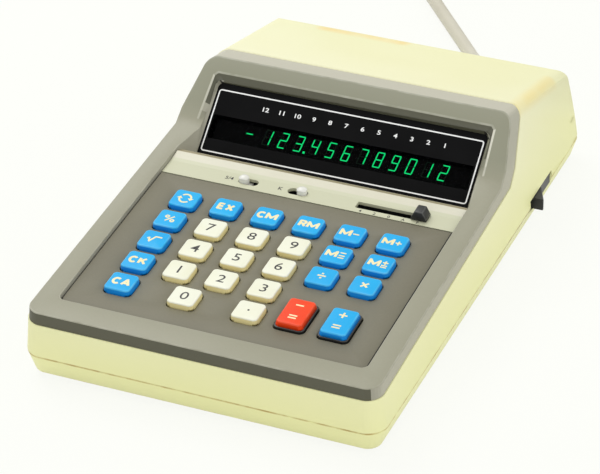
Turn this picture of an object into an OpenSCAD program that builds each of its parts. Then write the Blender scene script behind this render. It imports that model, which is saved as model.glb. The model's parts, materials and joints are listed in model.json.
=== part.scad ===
// Desktop calculator: cream case, grey bezel, sloped keyboard, hooded tube display and a mains lead.
// Millimetres, +Z up, the front faces -Y. The origin lies on the table under the middle of the object.

/* [Case] */
// Width of the case at the seam
case_w = 159; // [156:1:168]
// Depth of the case at the seam
case_d = 252.5; // [250:0.5:262]
// Height of the keyboard lip at the front edge
front_h = 33; // [32.5:0.5:35]
// Height of the crest of the hood
hood_h = 62.5; // [61:0.5:66]
// How far the roof is taken in from each side of the case
roof_in = 7.9; // [7.4:0.1:8.4]
// Thickness of the moulded walls
wall = 2.4; // [2:0.1:2.6]
// Radius of the upright corners at the seam
corner_r = 9; // [9:0.5:11]
// Radius of the roof's side and rear edges
roof_r = 7; // [5:0.5:8]
// Lean of the outer walls in degrees
draft = 5; // [3:0.5:5.5]
// Lean of the hood's cheeks in degrees
cheek_lean = 13; // [10:0.5:14]
// Fall of the roof towards the rear in degrees
roof_slope = 14; // [10:0.5:15]
// Height of the bottom cover from its flat underside to the seam
base_h = 9.5; // [9.5:0.5:10.5]
// How far the bottom cover tapers in below the seam
base_in = 3; // [1:0.5:3.5]
// Height of the feet
foot_h = 2.5; // [2:0.5:4]

/* [Bezel] */
// Slope of the keyboard in degrees
key_slope = 3; // [2.5:0.5:3.5]
// Slope of the display face in degrees
face_slope = 39; // [37:1:41]
// Distance from the middle of the case back to the foot of the display face
knee_y = 22; // [20:1:23]
// Depth of the bezel's skirt round the keyboard
skirt_h = 6; // [5:0.5:7]
// Depth of the bezel where it wraps over the hood
hood_skirt = 10.5; // [9:0.5:12]
// Step from the case in to the bezel
bezel_step = 0.4; // [0.2:0.1:0.6]
// Width of the bezel in front of the key panel
front_band = 14; // [13:0.5:15]

/* [Keyboard] */
// Width of the bezel beside the key panel
side_band = 12.05; // [11.6:0.05:12.6]
// Depth of the key panel below the bezel lip
panel_drop = 1.8; // [1.6:0.1:2]
// Distance between key columns
pitch_x = 19; // [18.5:0.1:19.4]
// Distance between key rows
pitch_y = 15.8; // [15.6:0.1:16]
// Width of a square cap at its top
cap_top = 11.5; // [11:0.1:11.7]
// Width of a square cap at the panel
cap_foot = 12; // [11.8:0.1:12.4]
// Height of the cap tops above the bezel lip
cap_rise = 0.5; // [0.3:0.1:1]
// Depth of the two tall caps
tall_d = 17.4; // [17:0.2:18.4]
// Travel of a key
key_travel = 2.5; // [2:0.1:2.5]

/* [Controls] */
// Depth of the control strip below the bezel lip
strip_drop = 2.3; // [2.2:0.1:2.5]
// Width of the slots in the control strip
slot_w = 4.5; // [4.2:0.1:4.8]
// Length of the slots of the two white knobs
short_slot = 9.2; // [9:0.1:10]
// Length of the decimal slot
long_slot = 32.2; // [31:0.1:33]
// Travel of the decimal knob
decimal_travel = 26; // [22:1:26]
// Length of the power rocker
rocker_l = 24; // [22:0.5:25]
// Height of the power rocker
rocker_h = 5.6; // [5:0.1:5.8]
// Swing of the power rocker to each side in degrees
rocker_swing = 12; // [8:1:12]

/* [Mains lead] */
// Diameter of the cord
cord_d = 6.4; // [6:0.1:6.4]
// Length of the tapered strain relief outside the rear wall
relief_l = 24; // [22:1:26]

/* [Hidden] */
$fn = 48;
fit = 0.3;
run_fit = 0.05;
round_over = 1.01;
cream = "#ecebc6";
grey = "#94937f";
olive = "#7d7c69";
ivory = "#f3f4e2";
blue = "#3a9fe4";
red = "#e8482c";
black = "#1d1d1f";
green = "#4f7a4e";
steel = "#a9adb1";

half_w = case_w / 2;
half_d = case_d / 2;
roof_half = half_w - roof_in;
seam_z = foot_h + base_h;
floor_z = foot_h + wall;
lip_z = front_h + half_d * tan(key_slope);
knee_z = lip_z + knee_y * tan(key_slope);
crest_y = knee_y + (hood_h - knee_z) / tan(face_slope);
block_top = hood_h + 0.5;
shrink = (block_top - seam_z) * tan(draft);
far = 400;

post_x = half_w - corner_r;
post_y = half_d - corner_r;
post_h = 10;
screw_r = 1.5;
head_r = 2.8;
head_z = foot_h + 1;
head_h = 2;

knee_s = knee_y / cos(key_slope);
open_front = -half_d + front_band;
face_l = (hood_h - knee_z) / sin(face_slope);
lip_run = 18.1;
strip_d = 16;
strip_rear = knee_s - lip_run;
strip_front = strip_rear - strip_d;
strip_t = 1.5;
first_row = 18.9;
row_0 = strip_front - first_row;
panel_w = case_w - 2 * side_band;
open_half = panel_w / 2 + fit;
open_r = 3;
ledge = 2;
panel_low = -strip_drop - strip_t;
panel_rear = strip_front - 2.5 * fit;
rim_low = -6;
rim_half = open_half + 2.5;

cap_low = panel_low - 1.5;
cap_r = 2.1;
cap_wall = 1.2;
tall_row = 3.71;
tall_rise = cap_rise + 0.9;
tall_foot_w = cap_foot + 0.2;
skirt_top = -0.9;
skirt_w = cap_foot + 1.2;
skirt_d = tall_d + 1.4;
peg_y = 5;
peg_r = 0.8;
stem_r = 2.5;
plate_top = -8;
plate_low = -11;
sleeve_r = 4.5;
sleeve_low = -14;
flange_low = -15;
board_t = 1.6;
leaf_t = 0.3;
contact_top = flange_low - key_travel - leaf_t - 0.2;

window_drop = 3.3;
window_half = 63.6;
hood_band = 11.13;
window_top = face_l - hood_band;
window_low = -14;
window_t = 2;
cheek_low = -17;
pocket_lean = 1 / 3;
tube_front = -6.3;
tube_back = -12.5;
tube_mid = 4;
tube_half = 61;
board_post_x = rim_half - 1.25;
BOARD_POSTS = [for (x = [-1, 1], t = [-9, 15]) [x * board_post_x, t]];

slot_s = strip_front + 5.2;
rounding_x = -28.65;
constant_x = -5.6;
decimal_x = panel_w / 2 - 29.75;
knob_w = 4.4;
short_travel = 4;
knob_neck = slot_w - 2 * fit;
foot_half = 3;
decimal_rest = decimal_x + decimal_travel / 2;
switch_low = -11;

main_z = seam_z + 1;
main_half = half_w - 15.5;
MAIN_POSTS = [for (x = [-1, 0, 1], y = [-30, 46]) [x * (main_half - 6), y]];
rocker_x = half_w - 7;
rocker_y = 68.4;
rocker_z = seam_z + 0.3;
rocker_out = 9.1;
mid_x = (rocker_x + rocker_out * cos(rocker_swing) + rocker_l / 2 * sin(rocker_swing) - half_w) / 2;
rocker_slot = rocker_l + 4.6;
pin_r = 1;
cheek_h = 1.9;
switch_h = rocker_h + 2 * fit + 2 * cheek_h;

core_y = 86;
core_t = 18;
core_h = roof_at(core_y + core_t / 2, wall) - floor_z - 5.6;
core_window = core_h - 15;

foot_x = half_w - 21.5;
foot_y = half_d - 24.25;

cord_x = 12.5;
cord_z = seam_z + 6.5;
cord_r = cord_d / 2;
relief_y = half_d + 0.2;
cord_y = relief_y + relief_l;
coil_z = 4.2;
coil_step = 7;
coil_out = 46;
coil_pitch = 7;
coil_start = 218.7;
coil_turn = 2468.7;
coil_tail = 40;
tie_in = 19.4;
tie_out = 48.1;
coil_from = [-64, 271.5, coil_z];
lead_dir = [-0.6252, 0.7804, 0];
coil_mid = coil_from + cord_d * lead_dir + coil_out * [0.7804, 0.6252, 0];
plug_x = coil_mid.x - coil_tail;
plug_y = coil_mid.y - coil_out;
plug_z = coil_z + coil_step;

// Route of the free stretch: down to the table in a bend, then straight to the first turn of the coil
bend_r = 40;
bend = atan2(-lead_dir.x, lead_dir.y);
bend_y = coil_from.y - (cord_x - coil_from.x) * lead_dir.y / -lead_dir.x - bend_r * tan(bend / 2);
bend_end = bend_y - cord_y + bend_r * bend * PI / 180;
lie_z = cord_r + 0.4;
function route_z(d) = lie_z + (cord_z - lie_z) * (1 + cos(180 * min(1, max(0, d - 2) / (bend_end - 2)))) / 2;
function bend_point(a) = [cord_x - bend_r * (1 - cos(a)), bend_y + bend_r * sin(a)];
function on_table(p, d) = [p.x, p.y, route_z(d)];
free_from = bend_point(bend);
free_l = norm([coil_from.x, coil_from.y] - free_from);
ROUTE = concat(
    [for (d = [0 : 2.2 : bend_y - cord_y]) on_table([cord_x, cord_y + d], d)],
    [for (i = [1 : 8])
        on_table(bend_point(i * bend / 8), bend_y - cord_y + bend_r * i / 8 * bend * PI / 180)],
    [for (i = [1 : 7]) [free_from.x + lead_dir.x * free_l * i / 8, free_from.y + lead_dir.y * free_l * i / 8,
        lie_z + (coil_z - lie_z) * i / 8]],
    [coil_from - cord_d * lead_dir, coil_from]
);

// Each square key with its column, its row and its colour
KEYS = [
    ["key_cycle", 0, 0, blue],
    ["key_exchange", 1, 0, blue],
    ["key_memory_clear", 2, 0, blue],
    ["key_memory_recall", 3, 0, blue],
    ["key_memory_minus", 4, 0, blue],
    ["key_memory_plus", 5, 0, blue],
    ["key_percent", 0, 1, blue],
    ["key_7", 1, 1, ivory],
    ["key_8", 2, 1, ivory],
    ["key_9", 3, 1, ivory],
    ["key_memory_minus_equals", 4, 1, blue],
    ["key_memory_plus_equals", 5, 1, blue],
    ["key_square_root", 0, 2, blue],
    ["key_4", 1, 2, ivory],
    ["key_5", 2, 2, ivory],
    ["key_6", 3, 2, ivory],
    ["key_divide", 4, 2, blue],
    ["key_multiply", 5, 2, blue],
    ["key_clear_entry", 0, 3, blue],
    ["key_1", 1, 3, ivory],
    ["key_2", 2, 3, ivory],
    ["key_3", 3, 3, ivory],
    ["key_clear_all", 0, 4, blue],
    ["key_0", 1.5, 4, ivory],
    ["key_point", 3, 4, ivory]
];

// The two tall keys with the skirts under them
TALL_KEYS = [
    ["key_minus_equals", "minus_key_skirt", 4, red],
    ["key_plus_equals", "plus_key_skirt", 5, blue]
];

// Places of the keys on the keyboard plane
function key_at(col, row) = [(col - 2.5) * pitch_x, row_0 - row * pitch_y];
PLACES = [for (k = KEYS) key_at(k[1], k[2])];
TALL_PLACES = [for (k = TALL_KEYS) key_at(k[2], tall_row)];

// Heights of the lip, face and roof lines at a depth d under their surfaces
function lip_at(y, d) = lip_z + y * tan(key_slope) - d / cos(key_slope);
function face_at(y, d) = knee_z + (y - knee_y) * tan(face_slope) - d / cos(face_slope);
function roof_at(y, d) = hood_h - (y - crest_y) * tan(roof_slope) - d / cos(roof_slope);
function lip_face_y(d1, d2) =
    (lip_z - d1 / cos(key_slope) - knee_z + d2 / cos(face_slope) + knee_y * tan(face_slope))
    / (tan(face_slope) - tan(key_slope));
function rear_roof_y(d) =
    (half_d - d - (roof_at(0, d) - seam_z) * tan(draft)) / (1 - tan(roof_slope) * tan(draft));
function unit(v) = v / norm(v);

// Frames of the keyboard, the display face and the roof
module on_keys() {
    translate([0, 0, lip_z]) rotate([key_slope, 0, 0]) children();
}

module on_face() {
    translate([0, knee_y, knee_z]) rotate([face_slope, 0, 0]) children();
}

module on_roof() {
    translate([0, crest_y, hood_h]) rotate([-roof_slope, 0, 0]) children();
}

// Outline in Y and Z drawn out across the width
module across(w) {
    rotate([90, 0, 90]) linear_extrude(w, center = true) children();
}

module rounded_rect(w, h, r) {
    square([w - 2 * r, h], center = true);
    square([w, h - 2 * r], center = true);
    for (x = [-1, 1], y = [-1, 1])
        translate([x * (w / 2 - r), y * (h / 2 - r)]) circle(r);
}

module rounded_box(w, d, r, z0, z1) {
    translate([0, 0, z0]) linear_extrude(z1 - z0) rounded_rect(w, d, r);
}

// What a fillet of radius r takes away from the corner v between the points a and b
module corner_piece(a, v, b, r) {
    ua = unit(a - v);
    ub = unit(b - v);
    mid = unit(ua + ub);
    half = acos(ua * ub) / 2;
    difference() {
        polygon([v + ua * r / tan(half), v - mid, v + ub * r / tan(half)]);
        translate(v + mid * r / sin(half)) circle(r * round_over);
    }
}

// Rounded block whose walls lean: half sizes and radius at z0, all larger by grow at z1
module drafted_block(hx, hy, r, z0, z1, grow) {
    step = grow / (z1 - z0);
    difference() {
        intersection() {
            rotate([90, 0, 0]) linear_extrude(4 * hy, center = true)
                polygon([[-hx, z0], [hx, z0], [hx + grow, z1], [-hx - grow, z1]]);
            rotate([90, 0, 90]) linear_extrude(4 * hx, center = true)
                polygon([[-hy, z0], [hy, z0], [hy + grow, z1], [-hy - grow, z1]]);
        }
        for (x = [0, 1], y = [0, 1])
            mirror([x, 0, 0]) mirror([0, y, 0]) translate([hx - r, hy - r, z0 - 1]) difference() {
                cube([2 * r + abs(grow), 2 * r + abs(grow), z1 - z0 + 2]);
                translate([0, 0, -1]) cylinder(h = z1 - z0 + 4, r1 = (r - 2 * step) * round_over,
                    r2 = (r + grow + 2 * step) * round_over);
            }
    }
}

// Side outline of the case above the seam: the lip, then the display face
module side_outline(inset) {
    knee = lip_face_y(inset, inset);
    polygon([
        [-far, seam_z - 1], [-far, lip_at(-far, inset)], [knee, lip_at(knee, inset)],
        [crest_y + 40, face_at(crest_y + 40, inset)], [far, hood_h + 40], [far, seam_z - 1]
    ]);
}

// Section of the hood square to the roof, with rounded roof edges
module hood_section(inset) {
    top = roof_half - inset / cos(cheek_lean) + inset * tan(cheek_lean);
    low = roof_half - inset / cos(cheek_lean) + 150 * tan(cheek_lean);
    r = max(roof_r - inset, 1);
    difference() {
        polygon([[-top, -inset], [-low, -150], [low, -150], [top, -inset]]);
        corner_piece([0, -inset], [top, -inset], [low, -150], r);
        corner_piece([0, -inset], [-top, -inset], [-low, -150], r);
    }
}

// Solid form of the closed case above the seam, taken in by inset on every side
module case_form(inset) {
    rear = rear_roof_y(inset);
    difference() {
        intersection() {
            drafted_block(half_w - inset, half_d - inset, corner_r - inset, seam_z, block_top, -shrink);
            across(far) side_outline(inset);
            on_roof() rotate([90, 0, 0]) linear_extrude(2 * far, center = true) hood_section(inset);
        }
        across(far) corner_piece(
            [crest_y, roof_at(crest_y, inset)], [rear, roof_at(rear, inset)],
            [half_d - inset, seam_z], max(roof_r - inset, 1));
    }
}

// Everything above the line where the bezel parts from the case
module above_parting() {
    knee = lip_face_y(skirt_h, hood_skirt);
    rear = crest_y + 60;
    across(far) polygon([
        [-far, lip_at(-far, skirt_h)], [knee, lip_at(knee, skirt_h)],
        [rear, face_at(rear, hood_skirt)], [rear, far], [-far, far]
    ]);
}

module at_posts() {
    for (x = [-1, 1], y = [-1, 1])
        translate([x * post_x, y * post_y, 0]) children();
}

module rocker_opening() {
    translate([half_w, rocker_y, rocker_z]) cube([20, rocker_slot, rocker_h + 1], center = true);
}

// Cream upper shell with screw posts, a hole for the cord and half of the rocker's opening
module upper_case() {
    color(cream) difference() {
        union() {
            difference() {
                case_form(0);
                case_form(wall);
                above_parting();
            }
            at_posts() translate([0, 0, seam_z]) cylinder(h = post_h, r = corner_r - wall + 0.5);
        }
        at_posts() translate([0, 0, seam_z - 1]) cylinder(h = post_h - 1, r = screw_r + run_fit);
        rocker_opening();
        translate([cord_x, half_d, cord_z]) rotate([90, 0, 0])
            cylinder(h = 20, r = cord_r + 1.6 + run_fit, center = true);
    }
}

// Cream bottom pan with bosses, board posts, air slots and a locating rail inside the seam
module bottom_cover() {
    rail_x = half_w - wall - 1.2 - fit;
    rail_y = half_d - wall - 1.2 - fit;
    color(cream) difference() {
        union() {
            difference() {
                drafted_block(
                    half_w - base_in, half_d - base_in, corner_r - base_in, foot_h, seam_z, base_in
                );
                intersection() {
                    drafted_block(half_w - base_in - wall, half_d - base_in - wall, corner_r - base_in - wall,
                        foot_h, seam_z + 1, base_in * (base_h + 1) / base_h);
                    translate([-far, -far, floor_z]) cube(2 * far);
                }
            }
            at_posts() translate([0, 0, foot_h]) cylinder(h = base_h, r = corner_r - wall - 1.4);
            for (p = MAIN_POSTS)
                translate([p.x, p.y, foot_h]) {
                    cylinder(h = main_z - foot_h, r = 3);
                    cylinder(h = main_z + board_t - foot_h, r = peg_r - run_fit);
                }
            for (x = [-1, 1])
                translate([x * (rail_x + 0.6), -20, seam_z - 2]) cube([1.2, 130, 6.4], center = true);
            for (y = [-1, 1])
                translate([0, y * (rail_y + 0.6), seam_z - 2]) cube([90, 1.2, 6.4], center = true);
            translate([half_w - 21, rocker_y - 13, floor_z - 1])
                cube([14, 26, rocker_z - switch_h / 2 - floor_z + 1]);
        }
        at_posts() translate([0, 0, foot_h - 1]) cylinder(h = base_h + 3, r = screw_r + fit);
        at_posts() translate([0, 0, foot_h - 1]) cylinder(h = head_z + head_h - foot_h + 1, r = head_r + fit);
        for (x = [-45:9:45])
            if (abs(x) > 4)
                translate([x, 8, foot_h - 1]) linear_extrude(wall + 2) rounded_rect(3, 48, 1.45);
        rocker_opening();
    }
}

// Pocket of the display, open to the front, with leaning walls
module window_pocket(inset, depth) {
    grow = (24 + depth) * pocket_lean;
    span = (window_top + 40) / 2;
    shift = (depth - window_drop) * pocket_lean;
    intersection() {
        translate([0, window_top - span, 0])
            drafted_block(window_half - inset - shift, span - inset - shift, 2.5 - shift, -depth, 24, grow);
        cube([2 * open_half, 200, 200], center = true);
    }
}

// Outline of the opening for the key panel and the strip, with rounded front corners
module key_opening(half, past) {
    length = strip_rear + past - open_front;
    translate([0, open_front + length / 2]) rounded_rect(2 * half, length, open_r);
    translate([-half, open_front + length / 2]) square([2 * half, length / 2]);
}

// Grey bezel: skirt, keyboard rim with a ledge for the panel, display face and posts for the board
module bezel() {
    color(grey) difference() {
        union() {
            difference() {
                intersection() {
                    case_form(bezel_step);
                    above_parting();
                }
                case_form(bezel_step + wall);
            }
            intersection() {
                case_form(bezel_step + wall / 2);
                union() {
                    on_keys() translate([-rim_half, open_front - 2.5, rim_low])
                        cube([2 * rim_half, knee_s - open_front + 2.5, -rim_low]);
                    on_face() translate([-rim_half, -15, -window_drop])
                        cube([2 * rim_half, window_top + 19, 40]);
                }
            }
            on_face() for (p = BOARD_POSTS)
                translate([p.x, p.y, tube_back]) {
                    cylinder(h = -tube_back - window_drop + 0.5, r = 2.2);
                    translate([0, 0, -board_t]) cylinder(h = board_t + 1, r = peg_r - run_fit);
                }
        }
        difference() {
            on_keys() {
                translate([0, 0, panel_low]) linear_extrude(20) key_opening(open_half, fit);
                translate([ledge - open_half, open_front + ledge, -30])
                    cube([2 * (open_half - ledge), knee_s - open_front - ledge, 50]);
            }
            on_face() translate([-far, cheek_low, -window_drop]) cube([2 * far, 60, 60]);
        }
        on_face() window_pocket(0, window_drop + 0.5);
    }
}

// Olive panel with a hole for each key
module key_panel() {
    hole = cap_foot + 2 * fit;
    color(olive) on_keys() difference() {
        translate([0, 0, panel_low]) linear_extrude(-panel_drop - panel_low) intersection() {
            translate([0, fit]) key_opening(panel_w / 2, 0);
            translate([-far, -far]) square([2 * far, panel_rear + far]);
        }
        for (p = PLACES)
            translate([p.x, p.y, 0]) rounded_box(hole, hole, cap_r + fit, panel_low - 1, 1);
        for (p = TALL_PLACES)
            translate([p.x, p.y, 0])
                rounded_box(skirt_w + 2 * fit, skirt_d + 2 * fit, cap_r + fit, panel_low - 1, 1);
    }
}

module strip_slot(x, l, r) {
    translate([x, slot_s, 0]) rounded_box(l, slot_w, r, -8, 4);
}

// Ivory strip between the keys and the display, with a raised facet and a lip down to the window
module control_strip() {
    a = strip_rear;
    d = -strip_drop;
    color(ivory) difference() {
        intersection() {
            on_keys() across(panel_w) polygon([
                [strip_front, d], [a - 6.7, d], [a, d + 0.75], [a + 3.1, d - 0.45], [a + 8.4, d - 7.3],
                [a + 6.6, d - 7.3], [a + 2.4, d - 2], [a - 0.1, d - 0.8], [a - 6.6, d - strip_t],
                [strip_front, d - strip_t]
            ]);
            on_face() window_pocket(fit, window_drop);
        }
        on_keys() strip_slot(rounding_x, short_slot, slot_w / 2 - 0.05);
        on_keys() strip_slot(constant_x, short_slot, slot_w / 2 - 0.05);
        on_keys() strip_slot(decimal_x, long_slot, 0.4);
    }
}

// Smoked window behind the display face
module display_window() {
    high = window_top + 2.6;
    color(black) on_face() translate([0, (window_low + high) / 2, 0])
        rounded_box(
            2 * (open_half - ledge - fit), high - window_low, 1.5, -window_drop - window_t, -window_drop
        );
}

// Flat glass tube with its base plate and the sealed tip at one end
module display_tube() {
    color("#31403a") on_face() translate([0, tube_mid, 0]) {
        drafted_block(tube_half, 8.4, 2, tube_back + 1.6, tube_front, -0.9);
        translate([0, 0, tube_back + 0.8]) cube([2 * tube_half + 4, 19, 1.6], center = true);
        translate([1 - tube_half, 0, tube_back + 3.6]) rotate([0, -90, 0])
            cylinder(h = 5.5, r1 = 1.9, r2 = 0.9);
    }
}

// Upright board behind the tube, on the pegs of the bezel's posts
module display_board() {
    color(green) on_face() difference() {
        translate([-board_post_x - 2.2, -12, tube_back - board_t])
            cube([2 * board_post_x + 4.4, 31, board_t]);
        for (p = BOARD_POSTS)
            translate([p.x, p.y, tube_back - 2]) cylinder(h = 4, r = peg_r);
    }
}

// Main board on the pegs of the bottom cover's posts
module main_board() {
    color(green) difference() {
        translate([-main_half, -36, main_z]) cube([2 * main_half, 88, board_t]);
        for (p = MAIN_POSTS)
            translate([p.x, p.y, main_z - 1]) cylinder(h = 4, r = peg_r);
        translate([-main_half, 30, main_z - 1]) cube([18, 5, 4]);
    }
}

// Packages with two rows of legs on the main board
module logic_chips() {
    color(black) for (c = [[-40, 12, 36], [2, 12, 36], [40, 12, 20], [-20, 34, 20], [12, 34, 20]])
        translate([c.x, c.y, main_z + board_t]) {
            translate([0, 0, 2.6]) cube([c[2], 12.4, 3.2], center = true);
            for (i = [0 : c[2] / 4 - 1], y = [-1, 1])
                translate([(i + 0.5) * 4 - c[2] / 2, y * 6.6, 1.3]) cube([1, 1.2, 2.6], center = true);
        }
}

// Plate under the keys with a guide sleeve for each stem
module key_frame() {
    front = open_front - 2;
    rear = strip_front - 1.4;
    color("#d9d6c8") on_keys() difference() {
        union() {
            translate([-rim_half, front, plate_low])
                cube([2 * rim_half, rear - front, plate_top - plate_low]);
            for (x = [-1, 1])
                translate([x * (rim_half - 2) - 2, front, plate_top])
                    cube([4, rear - front, rim_low - plate_top]);
            translate([-rim_half, front, plate_top]) cube([2 * rim_half, 3.6, rim_low - plate_top]);
            translate([5 - panel_w / 2, rear - 2, plate_top]) cube([panel_w - 10, 2, panel_low - plate_top]);
            for (p = concat(PLACES, TALL_PLACES))
                translate([p.x, p.y, sleeve_low]) cylinder(h = rim_low - sleeve_low, r = sleeve_r);
            for (x = [-57, 0, 57], j = [0.5, 3.5])
                translate([x, row_0 - j * pitch_y, contact_top])
                    cylinder(h = plate_low - contact_top + 1, r = 2.2);
        }
        for (p = concat(PLACES, TALL_PLACES))
            translate([p.x, p.y, sleeve_low - 1]) cylinder(h = 20, r = stem_r + run_fit);
    }
}

// Board with the contacts of the keyboard
module contact_board() {
    half = panel_w / 2 - 3.45;
    color(green) on_keys() translate([-half, open_front + 2, contact_top - board_t])
        cube([2 * half, strip_front - open_front - 6, board_t]);
}

// Sprung metal leaves, one under each key
module contact_leaves() {
    color(steel) on_keys() for (p = concat(PLACES, TALL_PLACES))
        translate([p.x, p.y, contact_top]) linear_extrude(leaf_t) {
            circle(3.2);
            translate([-1.5, 0]) square([3, 6.5]);
        }
}

// Hollow square cap on its stem, with the flange that stops it under the sleeve
module key(k) {
    p = key_at(k[1], k[2]);
    taper = (cap_foot - cap_top) / 2;
    color(k[3]) on_keys() translate([p.x, p.y, 0]) {
        difference() {
            union() {
                drafted_block(cap_top / 2 + taper, cap_top / 2 + taper, cap_r, -panel_drop, cap_rise, -taper);
                rounded_box(cap_foot, cap_foot, cap_r, cap_low, -panel_drop);
            }
            rounded_box(cap_top - 2 * cap_wall, cap_top - 2 * cap_wall, 0.8, cap_low - 1, cap_rise - 1.4);
        }
        translate([0, 0, flange_low]) cylinder(h = cap_rise - 1 - flange_low, r = stem_r);
        translate([0, 0, flange_low]) cylinder(h = sleeve_low - run_fit - flange_low, r = stem_r + 0.7);
    }
}

// Tall cap with two pegs that hold it on its skirt
module tall_key(k) {
    p = key_at(k[2], tall_row);
    color(k[3]) on_keys() translate([p.x, p.y, 0]) {
        drafted_block(tall_foot_w / 2, tall_d / 2 + 0.2, cap_r, skirt_top, tall_rise, -0.6);
        for (y = [-peg_y, peg_y])
            translate([0, y, skirt_top - 1.8]) cylinder(h = 2, r = 1.2);
    }
}

// Black skirt with the stem of a tall key
module tall_skirt(k) {
    p = key_at(k[2], tall_row);
    color(black) on_keys() translate([p.x, p.y, 0]) {
        difference() {
            rounded_box(skirt_w, skirt_d, cap_r, cap_low, skirt_top);
            rounded_box(skirt_w - 2.4, skirt_d - 2.4, 0.8, cap_low - 1, skirt_top - 2);
            for (y = [-peg_y, peg_y])
                translate([0, y, skirt_top - 3]) cylinder(h = 4, r = 1.2 + run_fit);
        }
        translate([0, 0, flange_low]) cylinder(h = skirt_top - 1 - flange_low, r = stem_r);
        translate([0, 0, flange_low]) cylinder(h = sleeve_low - run_fit - flange_low, r = stem_r + 0.7);
    }
}

// Neck and foot of a slide knob, from the strip down into its switch
module knob_foot(w) {
    rounded_box(w, knob_neck, knob_neck / 2 - 0.05, panel_low - 2, 0.6 - strip_drop);
    translate([0, 0, panel_low - 1.6]) cube([w + 1.6, 2 * foot_half, 1.4], center = true);
}

module slide_knob(x) {
    color(ivory) on_keys() translate([x, slot_s, 0]) {
        knob_foot(knob_w);
        translate([0, 0, fit - strip_drop]) intersection() {
            rounded_box(knob_w, knob_neck, 1.7, -1, 3);
            translate([0, 0, -0.6]) sphere(3.1, $fn = 64);
        }
    }
}

// White knob of the rounding switch, at the left end of its slot
module rounding_knob() {
    slide_knob(rounding_x - short_travel / 2);
}

// White knob of the constant switch, at the right end of its slot
module constant_knob() {
    slide_knob(constant_x + short_travel / 2);
}

// Black pointed knob of the decimal switch
module decimal_knob() {
    color(black) on_keys() translate([decimal_rest, slot_s, 0]) {
        knob_foot(knob_w);
        translate([0, 0, fit - strip_drop]) rotate([90, 0, 0]) linear_extrude(5.6, center = true)
            polygon([[-3.5, 0], [3.5, 0], [3.5, 1], [1.8, 4.4], [-1.8, 4.4], [-3.5, 1]]);
    }
}

// Housing under a slot with a channel for the knob's foot
module switch_housing(x, l) {
    on_keys() translate([x, slot_s, 0]) difference() {
        translate([-l / 2 - 2, -4.2, switch_low]) cube([l + 4, 8.2, panel_low - switch_low]);
        translate([-l / 2 - 0.4, -foot_half - fit, panel_low - 2.6])
            cube([l + 0.8, 2 * (foot_half + fit), 3]);
    }
}

// Two small slide switches under the strip
module slide_switches() {
    color(steel) {
        switch_housing(rounding_x, short_slot);
        switch_housing(constant_x, short_slot);
    }
}

// Long slide switch under the decimal slot
module decimal_switch() {
    color(steel) switch_housing(decimal_x, long_slot);
}

// Black rocker with a hollow back line, its front end out, on an upright pin
module power_rocker() {
    e = rocker_l / 2;
    color(black) translate([rocker_x, rocker_y, rocker_z]) rotate(rocker_swing) {
        linear_extrude(rocker_h, center = true)
            polygon([
                [rocker_out, -e], [6.5, 0], [rocker_out, e], [1, e - 1.5], [-3.2, 4], [-3.2, -4], [1, 1.5 - e]
            ]);
        cylinder(h = rocker_h + 2 * fit + 2, r = pin_r, center = true);
    }
}

// Switch body with the bearing of the rocker and three tags at its back
module power_switch() {
    deep = 14;
    color("#3b3a38") translate([rocker_x, rocker_y, rocker_z]) {
        difference() {
            translate([2.7 - deep, -15, -switch_h / 2]) cube([deep, 30, switch_h]);
            translate([-4.6, -13, -rocker_h / 2 - fit]) cube([20, 26, rocker_h + 2 * fit]);
            cylinder(h = rocker_h + 2 * fit + 2.4, r = pin_r + run_fit, center = true);
        }
        for (y = [-9, 0, 9])
            translate([2.7 - deep - 3, y, 0]) cube([6.2, 0.8, 3], center = true);
    }
}

// Laminated core of the mains transformer, with two windows
module transformer_core() {
    color(steel) translate([-36, core_y, floor_z]) difference() {
        translate([-25, -core_t / 2, 0]) cube([50, core_t, core_h]);
        for (x = [-1, 1])
            translate([x * 12.5, 0, core_h / 2]) cube([9, core_t + 2, core_window], center = true);
    }
}

// Winding on the middle leg of the core
module transformer_coil() {
    tall = core_window - 1;
    color("#8a5a2c") translate([-36, core_y, floor_z + core_h / 2]) difference() {
        rounded_box(33, 2 * core_t, 6, -tall / 2, tall / 2);
        cube([16.6, core_t + 2 * fit, tall + 8], center = true);
        for (x = [-1, 1])
            translate([x * 21, 0, 0]) cube([8.6, core_t + 2 * fit, tall + 8], center = true);
    }
}

// Four rubber feet
module feet() {
    color(black) for (x = [-foot_x, foot_x], y = [-foot_y, foot_y])
        translate([x, y, 0]) cylinder(h = foot_h, r1 = 6.5, r2 = 8);
}

// Four screws that join the bottom cover to the upper shell
module case_screws() {
    color(steel) at_posts() {
        difference() {
            translate([0, 0, head_z]) cylinder(h = head_h, r = head_r);
            for (a = [0, 90])
                translate([0, 0, head_z]) rotate(a) cube([3.6, 0.9, 1.8], center = true);
        }
        translate([0, 0, head_z + head_h - 0.5]) cylinder(h = seam_z + 8 - head_z - head_h, r = screw_r);
    }
}

// Rubber sleeve through the rear wall, tapering towards the cord, with a collar on each side of the wall
module strain_relief() {
    neck = cord_r + 1.6;
    color(black) translate([cord_x, relief_y, cord_z]) rotate([-90, 0, 0]) rotate_extrude()
        polygon([
            [0, -7], [neck + 2, -7], [neck + 2, -4.4], [neck, -4.4], [neck, 0.2], [neck + 2, 0.2],
            [neck + 2, 2.4], [neck, 3.6], [cord_r + 0.9, 12], [cord_r + 0.5, relief_l], [0, relief_l]
        ]);
}

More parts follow.
